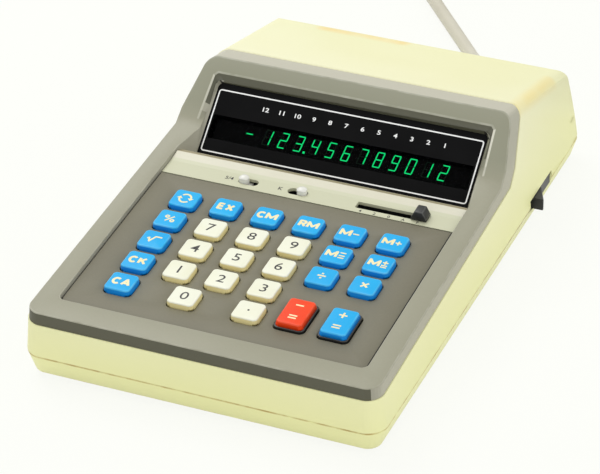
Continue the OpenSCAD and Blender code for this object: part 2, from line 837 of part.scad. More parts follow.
// Round tube along a list of points with a given number of sides
module tube(path, r, sides) {
    n = len(path);
    ways = [for (i = [0 : n - 1]) unit(path[min(i + 1, n - 1)] - path[max(i - 1, 0)])];
    rights = [for (w = ways) unit(cross(w, [0, 0, 1]))];
    ups = [for (i = [0 : n - 1]) cross(rights[i], ways[i])];
    points = [for (i = [0 : n - 1], k = [0 : sides - 1])
        path[i] + r * (cos(360 * k / sides) * rights[i] + sin(360 * k / sides) * ups[i])];
    walls = [for (i = [0 : n - 2], k = [0 : sides - 1])
        [i * sides + k, i * sides + (k + 1) % sides, (i + 1) * sides + (k + 1) % sides, (i + 1) * sides + k]];
    first = [for (k = [sides - 1 : -1 : 0]) k];
    last = [for (k = [0 : sides - 1]) (n - 1) * sides + k];
    polyhedron(points, concat([first, last], walls));
}

// Free stretch of the mains cord over the table
module mains_cord() {
    color("#b9b7ab") tube(ROUTE, cord_r, 10);
}

// Middle line of the coil: inwards on the table, up a layer in half a turn, outwards again
coil_half = coil_turn / 2;
function coil_radius(a) = coil_out - coil_pitch / 360 * min(a, coil_turn - a);
function coil_height(a) = coil_z + coil_step * (1 - cos(max(0, min(180, a - coil_half + 90)))) / 2;
function coil_point(a) =
    [coil_mid.x + coil_radius(a) * cos(coil_start - a), coil_mid.y + coil_radius(a) * sin(coil_start - a),
    coil_height(a)];
coil_count = ceil(coil_turn / 15);
COIL = concat(
    [coil_from],
    [for (i = [0 : coil_count]) coil_point(i * coil_turn / coil_count)],
    [[plug_x + cord_d, plug_y, plug_z], [plug_x, plug_y, plug_z]]
);

// Least distance between turns of the coil, less one cord diameter
coil_gap = min([for (i = [0 : len(COIL) - 1], j = [i + 8 : len(COIL) - 1]) norm(COIL[i] - COIL[j])]) - cord_d;
echo(coil_gap = coil_gap);

// Spare length of the cord, wound in two layers
module cord_coil() {
    color("#b9b7ab") tube(COIL, cord_r, 6);
}

// Band that holds the coil together
module cord_tie() {
    inner = tie_out - tie_in;
    mid = coil_mid.x + (tie_in + tie_out) / 2;
    low = coil_z - cord_r - fit;
    high = coil_z + coil_step + cord_r + fit;
    color(black) translate([mid, coil_mid.y, (low + high) / 2]) rotate([90, 0, 0])
        linear_extrude(8, center = true) difference() {
            rounded_rect(inner + 1.2, high - low + 1.2, 1.6);
            rounded_rect(inner, high - low, 1);
        }
}

// Mains plug with a ribbed grip and two flat blades
module mains_plug() {
    color(black) translate([plug_x, plug_y, plug_z]) rotate([0, -90, 0]) {
        rotate_extrude() polygon([[0, 0], [cord_r + 0.6, 0], [5.6, 12], [0, 12]]);
        for (z = [11, 15, 19])
            translate([0, 0, z]) rounded_box(18, 15, 5, 0, 2.6);
        rounded_box(16, 13, 4.5, 11.5, 22);
        drafted_block(11, 9, 5, 21, 38, -1);
    }
    color(steel) translate([plug_x - 38, plug_y, plug_z])
        for (z = [-1, 1])
            translate([-8.5, 0, z * 6.35]) cube([18, 6.3, 1.5], center = true);
}

// The object moved so that the middle of its box, with the rocker, stands over the origin
module centred() {
    translate([-mid_x, 0, 0]) children();
}

centred() bottom_cover();
centred() upper_case();
centred() bezel();
centred() key_panel();
centred() control_strip();
centred() display_window();
centred() display_tube();
centred() display_board();
centred() main_board();
centred() logic_chips();
centred() key_frame();
centred() contact_board();
centred() contact_leaves();
for (k = KEYS)
    centred() key(k);
for (k = TALL_KEYS)
    centred() tall_key(k);
for (k = TALL_KEYS)
    centred() tall_skirt(k);
centred() rounding_knob();
centred() constant_knob();
centred() decimal_knob();
centred() slide_switches();
centred() decimal_switch();
centred() power_rocker();
centred() power_switch();
centred() transformer_core();
centred() transformer_coil();
centred() feet();
centred() case_screws();
centred() strain_relief();
centred() mains_cord();
centred() cord_coil();
centred() cord_tie();
centred() mains_plug();
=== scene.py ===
import bpy
import bmesh
import json
import math
from mathutils import Matrix, Vector
from mathutils.geometry import delaunay_2d_cdt


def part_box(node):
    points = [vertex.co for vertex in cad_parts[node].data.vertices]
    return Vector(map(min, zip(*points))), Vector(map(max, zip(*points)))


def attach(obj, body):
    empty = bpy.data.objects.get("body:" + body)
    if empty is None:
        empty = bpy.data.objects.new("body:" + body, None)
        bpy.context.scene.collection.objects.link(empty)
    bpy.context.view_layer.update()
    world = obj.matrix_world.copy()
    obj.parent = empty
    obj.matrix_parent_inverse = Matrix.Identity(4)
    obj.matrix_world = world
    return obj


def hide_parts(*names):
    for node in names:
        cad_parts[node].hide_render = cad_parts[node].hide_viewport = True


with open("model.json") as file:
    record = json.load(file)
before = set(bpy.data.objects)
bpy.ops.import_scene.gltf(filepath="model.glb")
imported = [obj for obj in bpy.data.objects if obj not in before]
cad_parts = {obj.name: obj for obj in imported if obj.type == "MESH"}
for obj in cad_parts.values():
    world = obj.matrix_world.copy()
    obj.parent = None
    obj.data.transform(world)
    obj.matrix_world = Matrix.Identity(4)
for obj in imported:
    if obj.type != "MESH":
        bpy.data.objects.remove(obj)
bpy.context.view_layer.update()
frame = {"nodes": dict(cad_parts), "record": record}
nodes = frame["nodes"]
bodyOf = {n: b for b, held in frame["record"]["behaviour"]["bodies"].items() for n in held}
scene = bpy.context.scene
scene.view_settings.view_transform = "Standard"
mm = 0.001
print("frame:", len(nodes), "nodes")

# camera, at the photograph's viewing angle
photoCamera = {"place": (0.41762, -0.98643, 0.70644), "turn": (57.039, 0.988, 22.802), "lens": 176.4,
               "sensor": 36, "clipStart": 0.05}

cameraData = bpy.data.cameras.new("photoCamera")
cameraData.sensor_fit = "HORIZONTAL"
cameraData.sensor_width = photoCamera["sensor"]
cameraData.lens = photoCamera["lens"]
cameraData.clip_start = photoCamera["clipStart"]
cameraObject = bpy.data.objects.new("photoCamera", cameraData)
cameraObject.location = photoCamera["place"]
cameraObject.rotation_euler = [math.radians(a) for a in photoCamera["turn"]]
scene.collection.objects.link(cameraObject)
scene.camera = cameraObject
print("camera set")

# frames of the keyboard and of the display face, as in the case
casePlan = {"middle": -2.198, "halfWidth": 79.5, "halfDepth": 126.25, "corner": 9, "seam": 12,
            "underside": 2.5, "inset": 3, "front": 33, "keySlope": 3, "faceSlope": 39, "knee": 22}
keyLean = math.radians(casePlan["keySlope"])
lipHeight = casePlan["front"] + casePlan["halfDepth"] * math.tan(keyLean)
kneeHeight = lipHeight + casePlan["knee"] * math.tan(keyLean)
onKeys = Matrix.Translation((casePlan["middle"] * mm, 0, lipHeight * mm)) @ Matrix.Rotation(keyLean, 4, "X")
onFace = (Matrix.Translation((casePlan["middle"] * mm, casePlan["knee"] * mm, kneeHeight * mm))
          @ Matrix.Rotation(math.radians(casePlan["faceSlope"]), 4, "X"))
offKeys = onKeys.inverted()
offFace = onFace.inverted()


def place(mesh, name, body, material):
    piece = bpy.data.objects.new(name, mesh)
    scene.collection.objects.link(piece)
    mesh.materials.clear()
    mesh.materials.append(material)
    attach(piece, body)
    return piece


# shader groups
def newGroup(name, inputs, outputs):
    tree = bpy.data.node_groups.new(name, "ShaderNodeTree")
    for kind, label, value in inputs:
        tree.interface.new_socket(label, in_out="INPUT", socket_type=kind).default_value = value
    for kind, label in outputs:
        tree.interface.new_socket(label, in_out="OUTPUT", socket_type=kind)
    return tree, tree.nodes.new("NodeGroupInput"), tree.nodes.new("NodeGroupOutput")


def addNode(tree, kind, **values):
    node = tree.nodes.new(kind)
    for key, value in values.items():
        setattr(node, key, value)
    return node


def feed(tree, socket, value):  # a value, or the output of another node
    if isinstance(value, bpy.types.NodeSocket):
        tree.links.new(value, socket)
    else:
        socket.default_value = value


def noise(tree, where, scale, detail=2):
    node = addNode(tree, "ShaderNodeTexNoise")
    for label, value in (("Vector", where), ("Scale", scale), ("Detail", detail)):
        feed(tree, node.inputs[label], value)
    return node.outputs["Fac"]


def ranged(tree, value, low, high, toLow=0.0, toHigh=1.0, curve="LINEAR"):
    node = addNode(tree, "ShaderNodeMapRange", interpolation_type=curve)
    for label, given in (("Value", value), ("From Min", low), ("From Max", high), ("To Min", toLow),
                         ("To Max", toHigh)):
        feed(tree, node.inputs[label], given)
    return node.outputs[0]


def reckoned(tree, operation, first, second, clamp=False):
    node = addNode(tree, "ShaderNodeMath", operation=operation, use_clamp=clamp)
    feed(tree, node.inputs[0], first)
    feed(tree, node.inputs[1], second)
    return node.outputs[0]


def mixed(tree, amount, first, second, blend="MIX"):  # two colours, by the node's sockets for colours
    node = addNode(tree, "ShaderNodeMix", data_type="RGBA", blend_type=blend)
    feed(tree, node.inputs[0], amount)
    feed(tree, node.inputs[6], first)
    feed(tree, node.inputs[7], second)
    return node.outputs[2]


def layered(tree, amount, first, second):  # two shaders
    node = addNode(tree, "ShaderNodeMixShader")
    for socket, value in zip(node.inputs, (amount, first, second)):
        tree.links.new(value, socket)
    return node.outputs[0]


def buildMouldedGrain():  # patchy colour, fine speckle, uneven gloss and a fine moulded texture
    tree, entry, leave = newGroup("mouldedGrain", [
        ("NodeSocketColor", "Colour", (0.8, 0.8, 0.8, 1)),
        ("NodeSocketColor", "Aged Colour", (0.7, 0.7, 0.6, 1)),
        ("NodeSocketFloat", "Patch Scale", 14.0),
        ("NodeSocketFloat", "Speckle", 0.1),
        ("NodeSocketFloat", "Grain Scale", 2400.0),
        ("NodeSocketFloat", "Rough Low", 0.4),
        ("NodeSocketFloat", "Rough High", 0.55),
    ], [("NodeSocketColor", "Colour"), ("NodeSocketFloat", "Roughness"), ("NodeSocketFloat", "Height")])
    given, link = entry.outputs, tree.links.new
    where = addNode(tree, "ShaderNodeTexCoord").outputs["Object"]
    patch = noise(tree, where, given["Patch Scale"], detail=3)
    spread = ranged(tree, patch, low=0.35, high=0.7)
    colour = mixed(tree, spread, given["Colour"], given["Aged Colour"])
    shade = ranged(tree, noise(tree, where, scale=900), low=0.3, high=0.7, toLow=0.72)
    link(mixed(tree, given["Speckle"], colour, shade, "MULTIPLY"), leave.inputs["Colour"])
    gloss = ranged(tree, patch, 0.0, 1.0, given["Rough Low"], given["Rough High"])
    link(gloss, leave.inputs["Roughness"])
    link(noise(tree, where, given["Grain Scale"]), leave.inputs["Height"])
    return tree


def buildScuffAndHighlightEdges():  # edges made lighter from the mask that the softened edges carry: scuffed plastic, and partly a painted highlight on the strip's rear lip and the bezel's edges
    tree, entry, leave = newGroup("scuffAndHighlightEdges", [
        ("NodeSocketColor", "Colour", (0.8, 0.8, 0.8, 1)),
        ("NodeSocketColor", "Scuff And Highlight Colour", (0.9, 0.9, 0.9, 1)),
        ("NodeSocketFloat", "Amount", 0.5),
    ], [("NodeSocketColor", "Colour")])
    given = entry.outputs
    mask = addNode(tree, "ShaderNodeAttribute", attribute_name="edgeMask").outputs["Fac"]
    where = addNode(tree, "ShaderNodeTexCoord").outputs["Object"]
    spread = ranged(tree, noise(tree, where, scale=160, detail=4), low=0.3, high=0.65)
    some = reckoned(tree, "MULTIPLY", mask, spread)
    much = reckoned(tree, "MULTIPLY", some, given["Amount"])
    colour = mixed(tree, much, given["Colour"], given["Scuff And Highlight Colour"])
    tree.links.new(colour, leave.inputs["Colour"])
    return tree


def buildTannedLine():  # browned plastic along a line on the case
    tree, entry, leave = newGroup("tannedLine", [
        ("NodeSocketColor", "Colour", (0.8, 0.8, 0.8, 1)),
        ("NodeSocketColor", "Tan Colour", (0.8, 0.7, 0.4, 1)),
        ("NodeSocketVector", "From", (0, 0, 0)),
        ("NodeSocketVector", "Along", (0, 0.1, 0)),
        ("NodeSocketFloat", "Reach", 0.005),
    ], [("NodeSocketColor", "Colour")])
    given = entry.outputs

    def vectors(operation, first, second, wanted="Value"):
        node = addNode(tree, "ShaderNodeVectorMath", operation=operation)
        tree.links.new(first, node.inputs[0])
        tree.links.new(second, node.inputs["Scale" if operation == "SCALE" else 1])
        return node.outputs[wanted]

    where = addNode(tree, "ShaderNodeTexCoord").outputs["Object"]
    along = given["Along"]
    away = vectors("SUBTRACT", where, given["From"], "Vector")
    covered, whole = vectors("DOT_PRODUCT", away, along), vectors("DOT_PRODUCT", along, along)
    share = reckoned(tree, "DIVIDE", covered, whole, clamp=True)
    nearest = vectors("SCALE", along, share, "Vector")
    fade = ranged(tree, vectors("DISTANCE", away, nearest), 0.0, given["Reach"], 1.0, 0.0, "SMOOTHSTEP")
    spread = ranged(tree, noise(tree, where, scale=55), low=0.25, high=0.6, toLow=0.3)
    colour = mixed(tree, reckoned(tree, "MULTIPLY", fade, spread), given["Colour"], given["Tan Colour"])
    tree.links.new(colour, leave.inputs["Colour"])
    return tree


mouldedGrain = buildMouldedGrain()
scuffAndHighlightEdges = buildScuffAndHighlightEdges()
tannedLine = buildTannedLine()


def linear(rgb):  # colour as seen, 0 to 255, to the shader's linear colour
    return tuple(((c / 255 + 0.055) / 1.055) ** 2.4 if c > 10 else c / 255 / 12.92 for c in rgb) + (1.0,)


grainDepth = 0.2 * mm


def finish(name, colour, aged, rough, speckle, grain, bump, patch, scuffAndHighlight=None, scuffAndHighlightAmount=0.0, bands=None,
           paintedShade=None, tans=(), metallic=0.0, specular=0.5, alpha=1.0, glow=None, strength=0.0):
    material = bpy.data.materials.new(name)
    material.use_nodes = True
    tree = material.node_tree
    link = tree.links.new
    shader = tree.nodes["Principled BSDF"]
    skin = addNode(tree, "ShaderNodeGroup", node_tree=mouldedGrain)
    skin.inputs["Colour"].default_value = linear(colour)
    skin.inputs["Aged Colour"].default_value = linear(aged)
    skin.inputs["Patch Scale"].default_value = patch
    skin.inputs["Speckle"].default_value = speckle
    skin.inputs["Grain Scale"].default_value = grain
    skin.inputs["Rough Low"].default_value = rough[0]
    skin.inputs["Rough High"].default_value = rough[1]
    colourOut = skin.outputs["Colour"]
    if paintedShade:  # painted shade: the colour turns to another tone along one axis, from one place to another
        axis, start, end, tone = paintedShade
        where = addNode(tree, "ShaderNodeTexCoord")
        parts = addNode(tree, "ShaderNodeSeparateXYZ")
        link(where.outputs["Object"], parts.inputs[0])
        rise = ranged(tree, parts.outputs[axis], start * mm, end * mm)
        colourOut = mixed(tree, rise, colourOut, linear(tone))
    for start, end, reach, tone in tans:  # browned lines
        browned = addNode(tree, "ShaderNodeGroup", node_tree=tannedLine)
        browned.inputs["Tan Colour"].default_value = linear(tone)
        browned.inputs["From"].default_value = Vector(start) * mm
        browned.inputs["Along"].default_value = (Vector(end) - Vector(start)) * mm
        browned.inputs["Reach"].default_value = reach * mm
        link(colourOut, browned.inputs["Colour"])
        colourOut = browned.outputs["Colour"]
    # lighter edges: scuffs, and a painted highlight where the strip and the bezel use it
    if scuffAndHighlightAmount:
        scuffHighlightNode = addNode(tree, "ShaderNodeGroup", node_tree=scuffAndHighlightEdges)
        scuffHighlightNode.inputs["Scuff And Highlight Colour"].default_value = linear(scuffAndHighlight)
        scuffHighlightNode.inputs["Amount"].default_value = scuffAndHighlightAmount
        link(colourOut, scuffHighlightNode.inputs["Colour"])
        colourOut = scuffHighlightNode.outputs["Colour"]
    for mask, tone in (bands or {}).items():  # painted shade and painted highlights on the masked faces
        band = addNode(tree, "ShaderNodeAttribute", attribute_name=mask)
        colourOut = mixed(tree, band.outputs["Fac"], colourOut, linear(tone))
    link(colourOut, shader.inputs["Base Color"])
    link(skin.outputs["Roughness"], shader.inputs["Roughness"])
    relief = addNode(tree, "ShaderNodeBump")
    relief.inputs["Strength"].default_value = bump
    relief.inputs["Distance"].default_value = grainDepth
    link(skin.outputs["Height"], relief.inputs["Height"])
    link(relief.outputs["Normal"], shader.inputs["Normal"])
    shader.inputs["Metallic"].default_value = metallic
    shader.inputs["Specular IOR Level"].default_value = specular
    shader.inputs["Alpha"].default_value = alpha
    if glow:
        shader.inputs["Emission Color"].default_value = linear(glow)
        shader.inputs["Emission Strength"].default_value = strength
    return material


finishes = {
    # painted shade: the case turns yellower towards the bottom
    "cream_plastic": finish("creamPlastic", (243, 242, 206), (238, 236, 192), rough=(0.42, 0.55),
                            speckle=0.06, grain=2200, bump=0.10, patch=9, scuffAndHighlight=(196, 172, 104), scuffAndHighlightAmount=0.9,
                            paintedShade=("Z", 58, 12, (239, 239, 178)),
                            tans=[((67.6, 58, 59), (68, 106, 47), 6, (240, 226, 160)),
                                  ((-46, 117.5, 45.4), (-8, 117.5, 45.4), 6, (242, 218, 148))]),
    # bezel edges: scuffs, partly a painted highlight
    "grey_plastic": finish("greyBezelPlastic", (158, 156, 136), (152, 150, 129), rough=(0.42, 0.55),
                           speckle=0.10, grain=2000, bump=0.16, patch=12, scuffAndHighlight=(224, 223, 210), scuffAndHighlightAmount=0.25,
                           # painted shade on the skirt, the slopes, the joints and the wall over the window;
                           # painted highlight on the crown and the rims
                           bands={"skirtShadeMask": (82, 81, 63), "slopeShadeMask": (104, 105, 91),
                                  "gapShadeMask": (38, 37, 33), "highlightAndShadeMask": (190, 187, 170),
                                  "rimHighlightMask": (216, 214, 198)},
                           # painted shade: darker on the hood face, from just above the lip upward
                           paintedShade=("Z", 42, 48, (145, 145, 125))),
    "olive_panel": finish("olivePanelPaint", (122, 118, 99), (116, 112, 94), rough=(0.5, 0.62), speckle=0.16,
                          grain=2600, bump=0.14, patch=20, scuffAndHighlight=(150, 148, 130), scuffAndHighlightAmount=0.4,
                          # painted shadow in the joint round the panel
                          bands={"gapShadeMask": (26, 25, 21)}),
    # strip: its rounded rear edge carries a painted highlight line
    "ivory_strip": finish("ivoryStripPaint", (220, 217, 197), (214, 210, 187), rough=(0.34, 0.46),
                          speckle=0.08, grain=2600, bump=0.06, patch=20, scuffAndHighlight=(246, 245, 232), scuffAndHighlightAmount=0.8,
                          # painted shade on the strip's slope down to the window and on its front facet
                          bands={"highlightAndShadeMask": (168, 158, 128)}, paintedShade=("Y", -0.2, -0.9, (206, 207, 178))),
    "smoked_window": finish("smokedWindow", (4, 4, 5), (2, 2, 3), rough=(0.06, 0.1), speckle=0.0, grain=300,
                            bump=0.01, patch=30, specular=0.005, alpha=0.55),
    "tube_glass": finish("tubeGlass", (24, 30, 28), (18, 24, 22), rough=(0.1, 0.16), speckle=0.2, grain=1200,
                         bump=0.02, patch=60),
    "circuit_board": finish("boardVarnish", (72, 112, 66), (60, 98, 58), rough=(0.35, 0.5), speckle=0.2,
                            grain=900, bump=0.1, patch=50),
    "chip_plastic": finish("chipResin", (34, 34, 36), (28, 28, 30), rough=(0.5, 0.65), speckle=0.2,
                           grain=2400, bump=0.15, patch=60),
    "frame_plastic": finish("guidePlastic", (212, 208, 190), (200, 196, 176), rough=(0.4, 0.52), speckle=0.1,
                            grain=1800, bump=0.1, patch=30),
    "steel": finish("platedSteel", (186, 188, 190), (170, 172, 172), rough=(0.28, 0.42), speckle=0.15,
                    grain=700, bump=0.1, patch=60, metallic=1.0),
    "blue_key_plastic": finish("blueKeyPlastic", (24, 181, 243), (18, 173, 239), rough=(0.3, 0.4),
                               speckle=0.05, grain=1500, bump=0.05, patch=60, scuffAndHighlight=(110, 200, 250),
                               # painted shade on the cap's walls
                               scuffAndHighlightAmount=0.6, bands={"capSideShadeMask": (16, 146, 240)}, specular=0.25),
    "ivory_key_plastic": finish("ivoryKeyPlastic", (244, 245, 226), (240, 240, 214), rough=(0.3, 0.4),
                                speckle=0.05, grain=1500, bump=0.05, patch=60, scuffAndHighlight=(253, 252, 240),
                                # painted shade on the cap's walls
                                scuffAndHighlightAmount=0.5, bands={"capSideShadeMask": (246, 232, 170)}, specular=0.25),
    "red_key_plastic": finish("redKeyPlastic", (252, 74, 20), (247, 66, 16), rough=(0.3, 0.4), speckle=0.05,
                              grain=1500, bump=0.05, patch=60, scuffAndHighlight=(250, 112, 84), scuffAndHighlightAmount=0.6,
                              specular=0.25),
    "black_plastic": finish("blackPlastic", (30, 30, 31), (24, 24, 25), rough=(0.34, 0.5), speckle=0.15,
                            grain=2200, bump=0.12, patch=40, scuffAndHighlight=(96, 96, 94), scuffAndHighlightAmount=0.5),
    "white_knob_plastic": finish("whiteKnobPlastic", (240, 240, 234), (230, 229, 218), rough=(0.22, 0.3),
                                 speckle=0.05, grain=1500, bump=0.04, patch=80, scuffAndHighlight=(250, 250, 248),
                                 scuffAndHighlightAmount=0.4),
    "copper_winding": finish("windingTape", (168, 112, 58), (150, 96, 48), rough=(0.4, 0.55), speckle=0.3,
                             grain=600, bump=0.3, patch=50),
    "black_rubber": finish("blackRubber", (34, 34, 34), (28, 28, 28), rough=(0.6, 0.75), speckle=0.2,
                           grain=1800, bump=0.25, patch=50),
    "cord_vinyl": finish("cordVinyl", (212, 208, 192), (203, 198, 181), rough=(0.36, 0.48), speckle=0.08,
                         grain=1800, bump=0.06, patch=30),
}
printLook = {"rough": (0.35, 0.45), "speckle": 0.05, "grain": 2000, "patch": 80}
yellowPrint = finish("yellowLegend", (252, 240, 190), (246, 232, 176), bump=0.04, **printLook)
darkPrint = finish("darkLegend", (36, 34, 33), (30, 28, 28), bump=0.04, **printLook)
whitePrint = finish("whiteWindowPrint", (255, 255, 255), (250, 252, 251), bump=0.02, **printLook)
maskPrint = finish("blackWindowPrint", (22, 22, 23), (19, 19, 20), rough=(0.12, 0.18), speckle=0.1,
                   grain=2000, bump=0.01, patch=80, specular=0.03)
litSegment = finish("litSegment", (20, 90, 60), (16, 84, 52), rough=(0.4, 0.5), speckle=0.05, grain=2000,
                    bump=0.02, patch=80, glow=(14, 228, 124), strength=4.6)
# unlit segments: a faint painted glow stands in for light falling on them
darkSegment = finish("darkSegment", (44, 60, 50), (36, 52, 42), rough=(0.4, 0.5), speckle=0.1, grain=2000,
                     bump=0.02, patch=80, glow=(60, 150, 100), strength=0.07)
print("materials:", len(bpy.data.materials))

slotOf = {s["node"]: s["material_slot"] for s in frame["record"]["subparts"]}
for name, node in nodes.items():  # every carried-over solid gets its finish
    node.data.materials.clear()
    node.data.materials.append(finishes[slotOf[name]])

# mains cord: free stretch, coil and tail in one curve
mainsCord = {
    "diameter": 6.4, "sides": 5, "exit": (12.5, 150.45, 18.5), "straight": 2, "lie": 3.6, "bendRadius": 40,
    "lead": (-0.6252, 0.7804), "coilFrom": (-64, 271.5), "coilOut": 46, "coilPitch": 7, "coilHeight": 4.2,
    "coilStep": 7, "coilStart": 218.7, "coilTurn": 2468.7, "climb": 180, "tail": 40,
    "exitSteps": 9, "bendSteps": 18, "lieSteps": 12, "perTurn": 48, "tailSteps": 4,
}


def cordPath(plan):
    exitX, exitY, exitZ = plan["exit"]
    leadX, leadY = plan["lead"]
    fromX, fromY = plan["coilFrom"]
    r, lie, high = plan["bendRadius"], plan["lie"], plan["coilHeight"]
    bend = math.atan2(-leadX, leadY)
    bendY = fromY - (exitX - fromX) * leadY / -leadX - r * math.tan(bend / 2)
    bendEnd = bendY - exitY + r * bend

    def routeHeight(d):  # level at the strain relief, then down to the table in one slope
        share = min(1, max(0, d - plan["straight"]) / (bendEnd - plan["straight"]))
        return lie + (exitZ - lie) * (1 + math.cos(math.pi * share)) / 2

    path = []
    for i in range(plan["exitSteps"]):
        d = (bendY - exitY) * i / plan["exitSteps"]
        path.append((exitX, exitY + d, routeHeight(d)))
    for i in range(plan["bendSteps"] + 1):
        a = bend * i / plan["bendSteps"]
        z = routeHeight(bendY - exitY + r * a)
        path.append((exitX - r * (1 - math.cos(a)), bendY + r * math.sin(a), z))
    lastX, lastY, _ = path[-1]
    for i in range(1, plan["lieSteps"]):
        t = i / plan["lieSteps"]
        path.append((lastX + (fromX - lastX) * t, lastY + (fromY - lastY) * t, lie + (high - lie) * t))
    path.append((fromX, fromY, high))
    middleX = fromX + plan["diameter"] * leadX + plan["coilOut"] * leadY
    middleY = fromY + plan["diameter"] * leadY - plan["coilOut"] * leadX
    turnAll = plan["coilTurn"]
    count = math.ceil(turnAll / 360 * plan["perTurn"])
    for i in range(count + 1):  # inwards on the table, then outwards on top
        a = i * turnAll / count
        reach = plan["coilOut"] - plan["coilPitch"] / 360 * min(a, turnAll - a)
        climbed = max(0, min(1, (a - turnAll / 2) / plan["climb"] + 0.5))
        z = high + plan["coilStep"] * (1 - math.cos(math.pi * climbed)) / 2
        turn = math.radians(plan["coilStart"] - a)
        path.append((middleX + reach * math.cos(turn), middleY + reach * math.sin(turn), z))
    for i in range(1, plan["tailSteps"] + 1):
        d = plan["tail"] * i / plan["tailSteps"]
        path.append((middleX - d, middleY - plan["coilOut"], high + plan["coilStep"]))
    return [Vector((x + casePlan["middle"], y, z)) * mm for x, y, z in path]


cordLine = cordPath(mainsCord)
cordCurve = bpy.data.curves.new("mainsLead", "CURVE")
cordCurve.dimensions = "3D"
cordCurve.bevel_depth = mainsCord["diameter"] / 2 * mm
cordCurve.bevel_resolution = mainsCord["sides"]
cordCurve.use_fill_caps = True
spline = cordCurve.splines.new("POLY")
spline.points.add(len(cordLine) - 1)
for point, p in zip(spline.points, cordLine):
    point.co = (p.x, p.y, p.z, 1)
spline.use_smooth = True
cordCurve.materials.append(finishes["cord_vinyl"])
mainsLead = bpy.data.objects.new("mainsLead", cordCurve)
scene.collection.objects.link(mainsLead)
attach(mainsLead, "case")
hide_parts("mains_cord", "cord_coil")


# softened copies of the moulded solids
edgeRounds = {"key": 0.6, "skirt": 0.35, "bezel": 0.5, "seam": 0.45, "rocker": 0.5, "knob": 0.4, "panel": 0.6,
              "strip": 0.3}
meshCare = {"mergeWithin": 2e-6, "flatWithin": 0.3, "edgeOver": 26, "smoothUpTo": 34, "stripSmoothUpTo": 20,
            "levelWithin": 0.05, "outlineWithin": 0.8, "cutWithin": 1e-6}
looking = {"flat": 0.999, "most": 0.7, "half": 0.5, "some": 0.3, "little": 0.2}  # share of a face's direction


def softened(name, width, pick, segments=3, sharp=meshCare["smoothUpTo"], masks=None, rims=None, shape=None,
             clamp=True):
    mesh = nodes[name].data.copy()
    work = bmesh.new()
    work.from_mesh(mesh)
    bmesh.ops.remove_doubles(work, verts=work.verts, dist=meshCare["mergeWithin"])
    bmesh.ops.dissolve_limit(work, angle_limit=math.radians(meshCare["flatWithin"]), verts=work.verts,
                             edges=work.edges)
    if shape:
        shape(work)
    masks, rims = masks or {}, rims or {}
    layers = {title: work.faces.layers.float.new(title) for title in ["edgeMask", *{**masks, **rims}]}
    for title, mask in masks.items():
        for face in work.faces:
            face[layers[title]] = mask(face)
    sharpest = math.radians(meshCare["edgeOver"])
    edges = [e for e in work.edges if len(e.link_faces) == 2 and e.calc_face_angle(0) > sharpest and pick(e)]
    made = bmesh.ops.bevel(work, geom=edges, offset=width * mm, offset_type="OFFSET", segments=segments,
                           profile=0.5, affect="EDGES", clamp_overlap=clamp)
    for face in made["faces"]:
        for title, layer in layers.items():
            face[layer] = rims[title](face) if title in rims else 0.0
        face[layers["edgeMask"]] = 1.0
    bmesh.ops.triangulate(work, faces=[f for f in work.faces if len(f.verts) > 4])
    work.to_mesh(mesh)
    work.free()
    mesh.name = name + "Soft"
    for polygon in mesh.polygons:
        polygon.use_smooth = True
    mesh.set_sharp_from_angle(angle=math.radians(sharp))
    piece = place(mesh, name + "Soft", bodyOf[name], finishes[slotOf[name]])
    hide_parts(name)
    print("softened", name, len(edges), "edges")


def inKeys(edge):
    return [offKeys @ v.co / mm for v in edge.verts]


def inFace(edge):
    return [offFace @ v.co / mm for v in edge.verts]


def seenFromKeys(face):  # a face's direction, and its middle in mm
    return offKeys.to_3x3() @ face.normal, offKeys @ face.calc_center_median() / mm


def seenFromFace(face):
    return offFace.to_3x3() @ face.normal, offFace @ face.calc_center_median() / mm


def ramp(value, start, over):
    return max(0.0, min(1.0, (value - start) / over))


# bezel: slope round the window, and the painted shade and highlights of its faces
windowSlope = {"half": 64.57, "top": 24.38, "face": -0.4, "low": -3.2, "reach": 2.6, "lean": 0.045,
               "depth": 2.3, "corner": 1.5, "from": -0.2, "foot": 1, "runOut": 12, "steps": (4, 8, 12),
               "sideShade": 0.2}
bezelTones = {"skirtFrom": 0.15, "skirtOver": 0.6, "skirtTilt": 0.4,
              "wallHalf": 70, "wallTop": 0.2, "wallRear": 10, "wallShade": 0.6, "gapFrom": 15, "gapTo": 30,
              "crownFrom": 25, "crownTilt": 0.5, "crownOver": 0.35, "rightHighlight": 0.6,
              "rimFrom": 65, "rimTo": 68.5, "rimTop": 25, "leftHighlight": 0.6,
              "jointIn": 60, "jointOut": 69.2, "jointFront": (-114, -105), "jointRear": -12,
              "frontJoint": 0.6}


